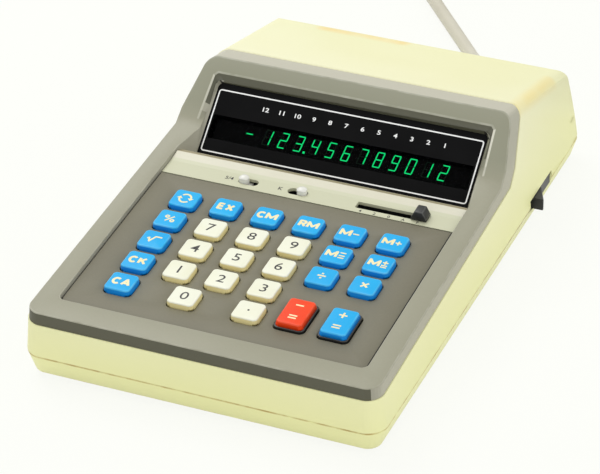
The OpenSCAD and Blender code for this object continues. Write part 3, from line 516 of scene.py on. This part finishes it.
def slopeWindow(work):  # turns the edge of the display's opening into a slope all round
    half, top = windowSlope["half"] + windowSlope["reach"], windowSlope["top"] + windowSlope["reach"]
    lean, inwards = windowSlope["lean"], onFace.to_3x3()
    cut = half - lean * top + top - windowSlope["corner"]
    planes = [((half, 0, 0), (1, lean, 0)), ((-half, 0, 0), (1, -lean, 0)), ((0, top, 0), (0, 1, 0)),
              ((cut, 0, 0), (1, 1, 0)), ((-cut, 0, 0), (1, -1, 0))]
    planes += [((0, step, 0), (0, 1, 0)) for step in windowSlope["steps"]]
    for at, across in planes:
        flat = []
        for f in work.faces:
            facing, spot = seenFromFace(f)
            if facing.z > looking["flat"] and abs(spot.z - windowSlope["face"]) < meshCare["levelWithin"]:
                flat.append(f)
        parts = {*flat, *(e for f in flat for e in f.edges), *(v for f in flat for v in f.verts)}
        bmesh.ops.bisect_plane(work, geom=list(parts), dist=meshCare["cutWithin"],
                               plane_co=onFace @ (Vector(at) * mm),
                               plane_no=inwards @ Vector(across).normalized())
    near = meshCare["levelWithin"]
    for v in work.verts:
        p = offFace @ v.co / mm
        beside = abs(p.x) < windowSlope["half"] + near
        within = windowSlope["foot"] < p.y < windowSlope["top"] + near
        if beside and within and abs(p.z - windowSlope["face"]) < 2 * near:
            depth = windowSlope["depth"] * min(1, p.y / windowSlope["runOut"])
            v.co = onFace @ (Vector((p.x, p.y, windowSlope["face"] - depth)) * mm)
    work.normal_update()


def skirtShade(face):  # painted shade on faces turned to the front: the skirt under the front lip, fading round its corners
    tone = ramp(-face.normal.y, bezelTones["skirtFrom"], bezelTones["skirtOver"])
    return tone if face.normal.z < bezelTones["skirtTilt"] else 0.0


def slopeShade(face):  # painted shade on the walls round the key panel, and on the slope round the window
    across, spot = seenFromKeys(face)
    inside = (abs(spot.x) < bezelTones["wallHalf"] and spot.z < bezelTones["wallTop"]
              and spot.y < bezelTones["wallRear"])
    inwards = across.x * spot.x <= 0 and across.y > -looking["most"]
    if abs(across.z) < looking["some"] and inside and inwards:
        return bezelTones["wallShade"]
    _, spot = seenFromFace(face)
    half, top = windowSlope["half"] + windowSlope["reach"], windowSlope["top"] + windowSlope["reach"]
    sunk = windowSlope["low"] < spot.z < windowSlope["face"] - 2 * meshCare["levelWithin"]
    if not (abs(spot.x) < half and windowSlope["from"] < spot.y < top and sunk):
        return 0.0
    if spot.y > windowSlope["top"]:
        return 1.0
    return windowSlope["sideShade"] * ramp(spot.y, 0, windowSlope["runOut"])


def inShadowGap(face):  # painted shade on the wall over the window
    across, spot = seenFromFace(face)
    inside = abs(spot.x) < bezelTones["wallHalf"] and bezelTones["gapFrom"] < spot.y < bezelTones["gapTo"]
    return 1.0 if across.y < -looking["most"] and inside else 0.0


def crownHighlight(face):  # painted highlight along the top of the hood and down its right side
    _, spot = seenFromFace(face)
    top = 0.0
    if spot.y > bezelTones["crownFrom"] and face.normal.y > -looking["some"]:
        top = ramp(face.normal.z, bezelTones["crownTilt"], bezelTones["crownOver"])
    return max(top, bezelTones["rightHighlight"] if face.normal.x > looking["half"] else 0.0)


def rimHighlight(face):  # painted highlight on the rims beside the window
    _, spot = seenFromFace(face)
    if not (bezelTones["rimFrom"] < abs(spot.x) < bezelTones["rimTo"] and spot.y < bezelTones["rimTop"]):
        return 0.0
    return (1.0 if spot.x > 0 else bezelTones["leftHighlight"]) * ramp(spot.y, 0, windowSlope["runOut"])


def jointShade(face):  # painted shadow in the joint at the right and the front of the key panel
    across, spot = seenFromKeys(face)
    front, behind = bezelTones["jointFront"]
    if not (abs(spot.x) < bezelTones["jointOut"] and front < spot.y < bezelTones["jointRear"]):
        return 0.0
    if across.x < -looking["half"] and spot.x > bezelTones["jointIn"]:
        return 1.0
    return bezelTones["frontJoint"] if across.y > looking["half"] and spot.y < behind else 0.0


# keys, panel, strip and case: where they are masked and rounded
panelCorners = [offKeys @ Vector(corner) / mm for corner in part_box("key_panel")]
panelRim = 1.0
capTops = {"plain": 0.5, "tall": 1.4}  # over the lip, in mm
tallKeys = ("key_minus_equals", "key_plus_equals")
roundedAbove = {"belowCap": 0.05, "skirt": -0.95, "bezel": (-0.6, 0.3), "rocker": 75.3, "knob": -1.95,
                "strip": -3, "panel": -1.85}
stripRear = 5  # only the strip's edge behind this is rounded


def capSideShade(face):  # painted shade on the walls of a cap, in a stronger colour than its top
    across, _ = seenFromKeys(face)
    return 1.0 if across.z < looking["half"] else 0.0


def panelJointShade(face):  # painted shadow in the joint round the key panel
    low, high = panelCorners
    _, spot = seenFromKeys(face)
    inset = min(spot.x - low.x, high.x - spot.x, spot.y - low.y, high.y - spot.y)
    return 1.0 if inset < panelRim else 0.0


def stripLipShade(face):  # painted shade and painted reflection of the dark window on the strip's slope down to the window
    across, _ = seenFromKeys(face)
    return 1.0 if across.y > looking["little"] else 0.0


def onOutline(edge, height, inset):  # on the outside of the case at one height
    for v in edge.verts:
        x = abs(v.co.x / mm - casePlan["middle"]) - casePlan["halfWidth"] + inset + casePlan["corner"]
        y = abs(v.co.y / mm) - casePlan["halfDepth"] + inset + casePlan["corner"]
        gap = math.hypot(max(x, 0), max(y, 0)) + min(max(x, y), 0) - casePlan["corner"]
        if abs(v.co.z / mm - height) > meshCare["levelWithin"] or gap < -meshCare["outlineWithin"]:
            return False
    return True


def onSeam(edge):
    return edge.is_convex and onOutline(edge, casePlan["seam"], 0)


def onUnderside(edge):
    return edge.is_convex and onOutline(edge, casePlan["underside"], casePlan["inset"])


def onBezelRim(edge):  # level with the lip, on the keyboard or on the display face
    low, high = roundedAbove["bezel"]
    level = [all(low < p.z < high for p in spots) for spots in (inKeys(edge), inFace(edge))]
    return edge.is_convex and any(level)


def above(lowest):  # edges that lie over one height of the keyboard
    return lambda edge: all(p.z > lowest for p in inKeys(edge))


def convexAbove(lowest):
    return lambda edge: edge.is_convex and all(p.z > lowest for p in inKeys(edge))


for name in nodes:
    if name.startswith("key_") and name not in ("key_panel", "key_frame"):
        top = capTops["tall" if name in tallKeys else "plain"]
        lowest = top - roundedAbove["belowCap"]
        softened(name, edgeRounds["key"], above(lowest), 4, masks={"capSideShadeMask": capSideShade})
for name in ("minus_key_skirt", "plus_key_skirt"):
    softened(name, edgeRounds["skirt"], above(roundedAbove["skirt"]), 2)
softened("bezel", edgeRounds["bezel"], onBezelRim,
         masks={"skirtShadeMask": skirtShade, "slopeShadeMask": slopeShade, "gapShadeMask": inShadowGap, "highlightAndShadeMask": crownHighlight},
         rims={"rimHighlightMask": rimHighlight, "gapShadeMask": jointShade}, shape=slopeWindow, clamp=False)
softened("upper_case", edgeRounds["seam"], onSeam, 2)
softened("bottom_cover", edgeRounds["seam"], lambda e: onSeam(e) or onUnderside(e), 2)
softened("power_rocker", edgeRounds["rocker"],
         lambda e: e.is_convex and all(v.co.x > roundedAbove["rocker"] * mm for v in e.verts), 2)
softened("decimal_knob", edgeRounds["knob"], convexAbove(roundedAbove["knob"]), 2)
softened("control_strip", edgeRounds["strip"],
         lambda e: e.is_convex and all(p.y > stripRear and p.z > roundedAbove["strip"] for p in inKeys(e)),
         2, meshCare["stripSmoothUpTo"], {"highlightAndShadeMask": stripLipShade})
softened("key_panel", edgeRounds["panel"], convexAbove(roundedAbove["panel"]), 2,
         rims={"gapShadeMask": panelJointShade}, clamp=False)
print("softened solids done")


# legends
printThick = {"key": 0.06, "window": 0.04, "mask": 0.02}
fontShare = 1.37  # size of the built-in font for one mm of figure height
dotSides = 12
joinWithin = 1e-4
keyPlan = {"pitchX": 19, "pitchY": 15.8, "middleColumn": 2.5, "firstRow": -30.9698, "tallRow": 3.71,
           "lift": 0.01, "stroke": 1.12, "thinStroke": 0.7, "letterHeight": 4.7, "letterGap": 0.4,
           "memoryLetter": -2.0, "memorySign": 2.6, "figureHeight": 4.9, "figureWidth": 1.12,
           "figureWeight": 0.012, "pointRadius": 0.5}
letterWidth = {"E": 2.3, "X": 2.7, "C": 2.8, "M": 3.6, "R": 2.5, "K": 2.7, "A": 2.9}
keySpots = {  # column and row
    "key_cycle": (0, 0), "key_exchange": (1, 0), "key_memory_clear": (2, 0), "key_memory_recall": (3, 0),
    "key_memory_minus": (4, 0), "key_memory_plus": (5, 0),
    "key_percent": (0, 1), "key_7": (1, 1), "key_8": (2, 1), "key_9": (3, 1),
    "key_memory_minus_equals": (4, 1), "key_memory_plus_equals": (5, 1),
    "key_square_root": (0, 2), "key_4": (1, 2), "key_5": (2, 2), "key_6": (3, 2),
    "key_divide": (4, 2), "key_multiply": (5, 2),
    "key_clear_entry": (0, 3), "key_1": (1, 3), "key_2": (2, 3), "key_3": (3, 3),
    "key_clear_all": (0, 4), "key_0": (1.5, 4), "key_point": (3, 4),
    "key_minus_equals": (4, keyPlan["tallRow"]), "key_plus_equals": (5, keyPlan["tallRow"]),
}
letterWords = {"key_exchange": "EX", "key_memory_clear": "CM", "key_memory_recall": "RM",
               "key_clear_entry": "CK", "key_clear_all": "CA", "key_memory_minus": "M",
               "key_memory_plus": "M", "key_memory_minus_equals": "M", "key_memory_plus_equals": "M"}


def arc(x, y, rx, ry, a0, a1, steps=14):
    turns = [math.radians(a0 + (a1 - a0) * i / steps) for i in range(steps + 1)]
    return [(x + rx * math.cos(a), y + ry * math.sin(a)) for a in turns]


letterLines = {  # strokes in a unit box
    "E": [[(0.95, 1), (0, 1), (0, 0), (0.95, 0)], [(0, 0.5), (0.85, 0.5)]],
    "X": [[(0, 0), (1, 1)], [(0, 1), (1, 0)]],
    "C": [arc(0.52, 0.5, 0.52, 0.5, 42, 318)],
    "M": [[(-0.08, 0), (-0.08, 1), (0.5, 0.22), (1.08, 1), (1.08, 0)]],
    "R": [[(0, 0), (0, 1), (0.6, 1)] + arc(0.62, 0.74, 0.34, 0.26, 90, -90, 8) + [(0, 0.48)],
          [(0.5, 0.48), (1, 0)]],
    "K": [[(0, 0), (0, 1)], [(0.95, 1), (0.05, 0.4)], [(0.36, 0.6), (1, 0)]],
    "A": [[(-0.04, 0), (0.5, 1), (1.04, 0)], [(0.2, 0.3), (0.8, 0.3)]],
}


def dot(x, y, r):
    return arc(x, y, r, r, 0, 360 - 360 / dotSides, dotSides - 1)


def prisms(parts, thick=printThick["key"]):  # one flat closed plate over all the outlines given
    points, rings = [], []
    for corners in parts:
        rings.append(list(range(len(points), len(points) + len(corners))))
        points += [Vector(c) for c in corners]
    flat, _, faces, _, _, sources = delaunay_2d_cdt(points, [], rings, 1, joinWithin)
    faces = [face for face, source in zip(faces, sources) if source]
    mesh = bpy.data.meshes.new("plates")
    work = bmesh.new()
    low = [work.verts.new((p.x, p.y, -thick / 2)) for p in flat]
    high = [work.verts.new((p.x, p.y, thick / 2)) for p in flat]
    sides = {(face[i - 1], face[i]) for face in faces for i in range(len(face))}
    for face in faces:
        work.faces.new([high[i] for i in face])
        work.faces.new([low[i] for i in reversed(face)])
    for i, j in sides:
        if (j, i) not in sides:
            work.faces.new((high[j], high[i], low[i], low[j]))
    bmesh.ops.delete(work, geom=[v for v in work.verts if not v.link_faces], context="VERTS")
    bmesh.ops.recalc_face_normals(work, faces=work.faces)
    work.to_mesh(mesh)
    work.free()
    return mesh


def strokes(lines, width):  # plates along the lines, with round joints
    parts = []
    for line in lines:
        for (ax, ay), (bx, by) in zip(line, line[1:]):
            long = math.hypot(bx - ax, by - ay)
            nx, ny = -(by - ay) / long * width / 2, (bx - ax) / long * width / 2
            parts.append([(ax + nx, ay + ny), (ax - nx, ay - ny), (bx - nx, by - ny), (bx + nx, by + ny)])
        parts += [dot(x, y, width / 2) for x, y in line[1:-1]]
    return parts


def lettering(word, middle):  # bold strokes of a word about its middle
    w, tall = keyPlan["stroke"], keyPlan["letterHeight"] - keyPlan["stroke"]
    wide = sum(letterWidth[c] + w for c in word) + (len(word) - 1) * keyPlan["letterGap"]
    left = middle - wide / 2 + w / 2
    out = []
    for letter in word:
        for line in letterLines[letter]:
            out.append([(left + px * letterWidth[letter], (py - 0.5) * tall) for px, py in line])
        left += letterWidth[letter] + w + keyPlan["letterGap"]
    return out


def bar(x, y, length):
    return [(x - length / 2, y), (x + length / 2, y)]


def plusLines(x, y, size):
    return [bar(x, y, size), [(x, y - size / 2), (x, y + size / 2)]]


def figureMesh(word, height, weight, wide=1.0, thick=printThick["key"]):  # a word of the built-in font
    curve = bpy.data.curves.new("figure", "FONT")
    curve.body = word
    curve.size = height * fontShare
    curve.offset = weight
    curve.extrude = thick / 2
    holder = bpy.data.objects.new("figure", curve)
    scene.collection.objects.link(holder)
    bpy.context.view_layer.update()
    mesh = bpy.data.meshes.new_from_object(holder.evaluated_get(bpy.context.evaluated_depsgraph_get()))
    bpy.data.objects.remove(holder)
    xs = [v.co.x for v in mesh.vertices]
    ys = [v.co.y for v in mesh.vertices]
    grow = height / (max(ys) - min(ys))
    mesh.transform(Matrix.Diagonal((grow * wide, grow, 1, 1))
                   @ Matrix.Translation((-(min(xs) + max(xs)) / 2, -(min(ys) + max(ys)) / 2, 0)))
    return mesh


sign = keyPlan["memorySign"]
memorySigns = {  # beside the letter of a memory key
    "key_memory_minus": [bar(sign, 0, 2.7)], "key_memory_plus": plusLines(sign, 0, 2.7),
    "key_memory_minus_equals": [bar(sign, 1.7, 2.6), bar(sign, -0.3, 2.6), bar(sign, -1.8, 2.6)],
    "key_memory_plus_equals": plusLines(sign, 1.15, 2.4) + [bar(sign, -0.8, 2.6), bar(sign, -2.0, 2.6)],
}
keySigns = {  # lines, stroke and arrowheads, in mm about the middle of the cap
    "key_percent": ([[(-1.5, -1.9), (1.5, 1.9)], arc(-1.5, 1.2, 0.75, 0.75, 0, 360, 12),
                     arc(1.5, -1.2, 0.75, 0.75, 0, 360, 12)], 0.7),
    "key_square_root": ([[(-3.0, -0.2), (-2.3, 0.5), (-1.5, -1.9), (0.2, 1.8), (3.0, 1.8)]], 0.8),
    "key_divide": ([bar(0, 0, 3.6), bar(0, 1.5, 0.9), bar(0, -1.5, 0.9)], 0.85),
    "key_multiply": ([[(-1.4, -1.4), (1.4, 1.4)], [(-1.4, 1.4), (1.4, -1.4)]], 0.9),
    "key_cycle": ([arc(0, 0, 2.5, 2.9, 8, 138), arc(0, 0, 2.5, 2.9, 188, 318)], 0.85,
                  [(-3.8, -0.35), (-1.1, -0.35), (-2.45, 1.15)], [(3.8, 0.35), (1.1, 0.35), (2.45, -1.15)]),
    "key_minus_equals": ([bar(0, 4.2, 3.5), bar(0, -2.9, 3.5), bar(0, -4.5, 3.5)], 0.8),
    "key_plus_equals": (plusLines(0, 4.0, 3.5) + [bar(0, -2.9, 3.5), bar(0, -4.5, 3.5)], 0.8),
}


def legendFor(name):
    if name in letterWords:
        word = letterWords[name]
        letters = strokes(lettering(word, keyPlan["memoryLetter"] if word == "M" else 0), keyPlan["stroke"])
        return prisms(letters + strokes(memorySigns.get(name, []), keyPlan["thinStroke"])), yellowPrint
    figure = name.removeprefix("key_")
    if figure.isdigit():
        height, weight = keyPlan["figureHeight"], keyPlan["figureWeight"]
        return figureMesh(figure, height, weight, keyPlan["figureWidth"]), darkPrint
    if name == "key_point":
        return prisms([dot(0, 0, keyPlan["pointRadius"])]), darkPrint
    lines, width, *heads = keySigns[name]
    return prisms(strokes(lines, width) + heads), yellowPrint


def joined(meshes):
    work = bmesh.new()
    for mesh, (x, y) in meshes:
        mesh.transform(Matrix.Translation((x, y, 0)))
        work.from_mesh(mesh)
    out = bpy.data.meshes.new("joined")
    work.to_mesh(out)
    work.free()
    return out


def onSurface(mesh, frameUsed, x, y, height):  # from mm on a flat face to its place on the case
    mesh.transform(frameUsed @ Matrix.Diagonal((mm, mm, mm, 1)) @ Matrix.Translation((x, y, height)))
    return mesh


for name, (col, row) in keySpots.items():
    mesh, ink = legendFor(name)
    x = (col - keyPlan["middleColumn"]) * keyPlan["pitchX"]
    y = keyPlan["firstRow"] - row * keyPlan["pitchY"]
    top = capTops["tall" if name in tallKeys else "plain"]
    place(onSurface(mesh, onKeys, x, y, top + keyPlan["lift"]), name + "Legend", bodyOf[name], ink)
print("legends done")

# display: printed window, black mask, digits in the tube
displayPlan = {"windowFront": -3.3, "printLift": 0.03, "numbersAt": 14.8, "firstNumber": -38.44,
               "numberPitch": 7.66, "numberHeight": 2.05, "numberWeight": 0.05, "numberWidth": 1.3,
               "outline": (-62.5, 62.5, -9.4, 20.4), "outlineWidth": 0.6, "outlineCorner": 1.3,
               "mask": (-63.5, 63.5, -13.5, 23.3), "band": (-61.2, 61.2, -3.0, 8.3), "maskCorner": 0.5,
               "digitDepth": -6.24, "digitAt": 3.4, "firstDigit": -34.8, "digitPitch": 7.51, "minusAt": -43.5,
               "digitHeight": 6.9, "digitWidth": 3.0, "stroke": 0.5, "barGap": 0.35, "slant": 0.14,
               "shown": "123456789012", "pointAfter": 2, "pointSize": 1.0, "pointBack": 0.6}


def roundedLoop(x0, x1, y0, y1, r, steps=6):
    out = []
    middles = [(x1 - r, y1 - r), (x0 + r, y1 - r), (x0 + r, y0 + r), (x1 - r, y0 + r)]
    for (cx, cy), a in zip(middles, (0, 90, 180, 270)):
        out += arc(cx, cy, r, r, a, a + 90, steps)
    return out


def ringMesh(outer, inner, thick):
    count = len(outer)
    parts = [[outer[i], outer[(i + 1) % count], inner[(i + 1) % count], inner[i]] for i in range(count)]
    return prisms(parts, thick)


x0, x1, y0, y1 = displayPlan["outline"]
line, corner = displayPlan["outlineWidth"], displayPlan["outlineCorner"]
frameLine = ringMesh(roundedLoop(x0, x1, y0, y1, corner),
                     roundedLoop(x0 + line, x1 - line, y0 + line, y1 - line, corner - line),
                     printThick["window"])
numbers = [(frameLine, (0, 0))]
columns = len(displayPlan["shown"])
for i in range(columns):
    figure = figureMesh(str(columns - i), displayPlan["numberHeight"], displayPlan["numberWeight"],
                        displayPlan["numberWidth"], printThick["window"])
    x = displayPlan["firstNumber"] + i * displayPlan["numberPitch"]
    numbers.append((figure, (x, displayPlan["numbersAt"])))
printHeight = displayPlan["windowFront"] + displayPlan["printLift"]
place(onSurface(joined(numbers), onFace, 0, 0, printHeight), "windowPrint", "case", whitePrint)
corner = displayPlan["maskCorner"]
mask = ringMesh(roundedLoop(*displayPlan["mask"], corner), roundedLoop(*displayPlan["band"], corner),
                printThick["mask"])
place(onSurface(mask, onFace, 0, 0, displayPlan["windowFront"]), "windowMask", "case", maskPrint)

segmentsOf = {"0": "abcdef", "1": "bc", "2": "abged", "3": "abgcd", "4": "fgbc", "5": "afgcd", "6": "afgedc",
              "7": "abc", "8": "abcdefg", "9": "abcdfg"}


def buildSegmentTree():  # one bar for each point, turned by the point's own angle
    tree = bpy.data.node_groups.new("segmentRow", "GeometryNodeTree")
    tree.interface.new_socket("Geometry", in_out="INPUT", socket_type="NodeSocketGeometry")
    for label, value in (("Bar Length", 0.003), ("Bar Width", 0.0007), ("Bar Thickness", 0.00004)):
        tree.interface.new_socket(label, in_out="INPUT", socket_type="NodeSocketFloat").default_value = value
    tree.interface.new_socket("Finish", in_out="INPUT", socket_type="NodeSocketMaterial")
    tree.interface.new_socket("Geometry", in_out="OUTPUT", socket_type="NodeSocketGeometry")
    link = tree.links.new
    entry, leave = tree.nodes.new("NodeGroupInput"), tree.nodes.new("NodeGroupOutput")
    size = tree.nodes.new("ShaderNodeCombineXYZ")
    link(entry.outputs["Bar Length"], size.inputs[0])
    link(entry.outputs["Bar Width"], size.inputs[1])
    link(entry.outputs["Bar Thickness"], size.inputs[2])
    block = tree.nodes.new("GeometryNodeMeshCube")
    link(size.outputs[0], block.inputs["Size"])
    turn = tree.nodes.new("GeometryNodeInputNamedAttribute")
    turn.data_type = "FLOAT"
    turn.inputs["Name"].default_value = "turn"
    spin = tree.nodes.new("ShaderNodeCombineXYZ")
    link(turn.outputs["Attribute"], spin.inputs[2])
    spots = tree.nodes.new("GeometryNodeInstanceOnPoints")
    link(entry.outputs["Geometry"], spots.inputs["Points"])
    link(block.outputs["Mesh"], spots.inputs["Instance"])
    link(spin.outputs[0], spots.inputs["Rotation"])
    real = tree.nodes.new("GeometryNodeRealizeInstances")
    link(spots.outputs["Instances"], real.inputs["Geometry"])
    paint = tree.nodes.new("GeometryNodeSetMaterial")
    link(real.outputs["Geometry"], paint.inputs["Geometry"])
    link(entry.outputs["Finish"], paint.inputs["Material"])
    link(paint.outputs["Geometry"], leave.inputs["Geometry"])
    return tree


segmentTree = buildSegmentTree()


def treeMesh(base, tree, values):  # runs a tree on a mesh and gives the plain mesh back
    holder = bpy.data.objects.new("holder", base)
    scene.collection.objects.link(holder)
    maker = holder.modifiers.new("maker", "NODES")
    maker.node_group = tree
    for item in tree.interface.items_tree:
        if item.in_out == "INPUT" and item.name in values:
            maker[item.identifier] = values[item.name]
    bpy.context.view_layer.update()
    mesh = bpy.data.meshes.new_from_object(holder.evaluated_get(bpy.context.evaluated_depsgraph_get()))
    holder.modifiers.remove(maker)
    bpy.data.objects.remove(holder)
    return mesh


def pointMesh(points, turns):
    mesh = bpy.data.meshes.new("points")
    mesh.from_pydata(points, [], [])
    layer = mesh.attributes.new("turn", "FLOAT", "POINT")
    for i, value in enumerate(turns):
        layer.data[i].value = value
    return mesh


def segmentSpots(x, lit):  # centre and turn of each wanted bar of one figure
    h, w, lean = displayPlan["digitHeight"], displayPlan["digitWidth"], displayPlan["slant"]
    places = {"a": (0, h / 2, 0), "g": (0, 0, 0), "d": (0, -h / 2, 0), "b": (w / 2, h / 4, 1),
              "c": (w / 2, -h / 4, 1), "f": (-w / 2, h / 4, 1), "e": (-w / 2, -h / 4, 1)}
    out = []
    for key in lit:
        px, py, upright = places[key]
        turn = math.pi / 2 - math.atan(lean) if upright else 0
        out.append(((x + px + lean * py, displayPlan["digitAt"] + py, 0), turn))
    return out


litSpots, darkSpots = [], []
for i, figure in enumerate(displayPlan["shown"]):
    x = displayPlan["firstDigit"] + i * displayPlan["digitPitch"]
    litSpots += segmentSpots(x, segmentsOf[figure])
    darkSpots += segmentSpots(x, [k for k in "abcdefg" if k not in segmentsOf[figure]])
litSpots += segmentSpots(displayPlan["minusAt"], "g")
segmentRows = {"litSegments": (litSpots, litSegment), "darkSegments": (darkSpots, darkSegment)}
for title, (spots, finishUsed) in segmentRows.items():
    base = pointMesh([p for p, t in spots], [t for p, t in spots])
    made = treeMesh(base, segmentTree, {"Bar Length": displayPlan["digitHeight"] / 2 - displayPlan["barGap"],
                                        "Bar Width": displayPlan["stroke"],
                                        "Bar Thickness": printThick["window"], "Finish": finishUsed})
    place(onSurface(made, onFace, 0, 0, displayPlan["digitDepth"]), title, "case", finishUsed)
pointX = displayPlan["firstDigit"] + (displayPlan["pointAfter"] + 0.5) * displayPlan["digitPitch"]
pointLine = bar(pointX - displayPlan["pointBack"], displayPlan["digitAt"] - displayPlan["digitHeight"] / 2,
                displayPlan["pointSize"])
point = prisms(strokes([pointLine], displayPlan["pointSize"]), printThick["window"])
place(onSurface(point, onFace, 0, 0, displayPlan["digitDepth"]), "litPoint", "case", litSegment)
print("display done:", len(litSpots), "lit bars")

# control strip marks
stripPlan = {"surface": -2.3, "lift": 0.025, "slot": -6.87, "decimalFrom": 24.7, "decimalPitch": 6.5,
             "decimalDown": 3.9, "labels": "420AF"}
stripMarks = [  # word, height, weight and place
    ("K", 2.2, 0.03, -13.6, stripPlan["slot"]),
    ("5/4", 2.2, 0.02, -37.6, stripPlan["slot"]),
]
decimalMarks = [(label, 1.7, 0.01, stripPlan["decimalFrom"] + i * stripPlan["decimalPitch"],
                 stripPlan["slot"] - stripPlan["decimalDown"]) for i, label in enumerate(stripPlan["labels"])]
marks = [(figureMesh(word, height, weight, thick=printThick["window"]), (x, y))
         for word, height, weight, x, y in decimalMarks + stripMarks]
markHeight = stripPlan["surface"] + stripPlan["lift"]
place(onSurface(joined(marks), onKeys, 0, 0, markHeight), "stripMarks", "case", darkPrint)
print("strip marks done")

# studio
studio = {"floor": 6.0, "floorLow": 0.00005, "floorWhite": 0.9, "floorColour": (0.93, 0.93, 0.91, 1),
          "floorRough": 0.9, "floorShine": 0.1, "white": (254, 255, 250), "world": 0.66,
          "worldColour": (1, 1, 0.985, 1)}
softboxes = {  # place, aim, size and power
    "topSoftbox": ((-0.65, 0.4, 1.2), (0, 0.03, 0.03), 0.8, 7.9),
    "rightSoftbox": ((1.4, -0.1, 0.75), (0, 0.03, 0.03), 0.9, 4.0),
    "frontSoftbox": ((-0.15, -1.5, 0.3), (0, -0.1, 0.02), 0.8, 2.1),
}


def seenDirectly(tree):  # by the camera, in a reflection or through glass
    rays = addNode(tree, "ShaderNodeLightPath").outputs
    first = reckoned(tree, "MAXIMUM", rays["Is Camera Ray"], rays["Is Glossy Ray"])
    return reckoned(tree, "MAXIMUM", first, rays["Is Transmission Ray"])


floorMesh = bpy.data.meshes.new("studioFloor")
reach, low = studio["floor"], -studio["floorLow"]
floorCorners = [(-reach, -reach, low), (reach, -reach, low), (reach, reach, low), (-reach, reach, low)]
floorMesh.from_pydata(floorCorners, [], [(0, 1, 2, 3)])
floorMaterial = bpy.data.materials.new("paleFloor")
floorMaterial.use_nodes = True
tree = floorMaterial.node_tree
shader = tree.nodes["Principled BSDF"]
shader.inputs["Base Color"].default_value = studio["floorColour"]
shader.inputs["Roughness"].default_value = studio["floorRough"]
shader.inputs["Specular IOR Level"].default_value = studio["floorShine"]
white = addNode(tree, "ShaderNodeEmission")
white.inputs["Color"].default_value = linear(studio["white"])
share = reckoned(tree, "MULTIPLY", seenDirectly(tree), studio["floorWhite"])
lit = layered(tree, share, shader.outputs[0], white.outputs[0])
fromBelow = addNode(tree, "ShaderNodeNewGeometry").outputs["Backfacing"]
clear = addNode(tree, "ShaderNodeBsdfTransparent").outputs[0]
oneSided = layered(tree, fromBelow, lit, clear)  # open to a look from below
tree.links.new(oneSided, tree.nodes["Material Output"].inputs["Surface"])
floorMesh.materials.append(floorMaterial)
floorObject = bpy.data.objects.new("studioFloor", floorMesh)
scene.collection.objects.link(floorObject)

world = bpy.data.worlds.new("studioWorld")
world.use_nodes = True
scene.world = world
tree = world.node_tree
soft = tree.nodes["Background"]
soft.inputs["Color"].default_value = studio["worldColour"]
soft.inputs["Strength"].default_value = studio["world"]
backdrop = addNode(tree, "ShaderNodeBackground")
backdrop.inputs["Color"].default_value = linear(studio["white"])
around = layered(tree, seenDirectly(tree), soft.outputs[0], backdrop.outputs[0])
tree.links.new(around, tree.nodes["World Output"].inputs["Surface"])


def softbox(name, at, towards, size, power):
    data = bpy.data.lights.new(name, "AREA")
    data.shape = "SQUARE"
    data.size = size
    data.energy = power
    lamp = bpy.data.objects.new(name, data)
    lamp.location = at
    lamp.rotation_euler = (Vector(towards) - Vector(at)).to_track_quat("-Z", "Y").to_euler()
    scene.collection.objects.link(lamp)


for name, (at, towards, size, power) in softboxes.items():
    softbox(name, at, towards, size, power)
print("studio done")
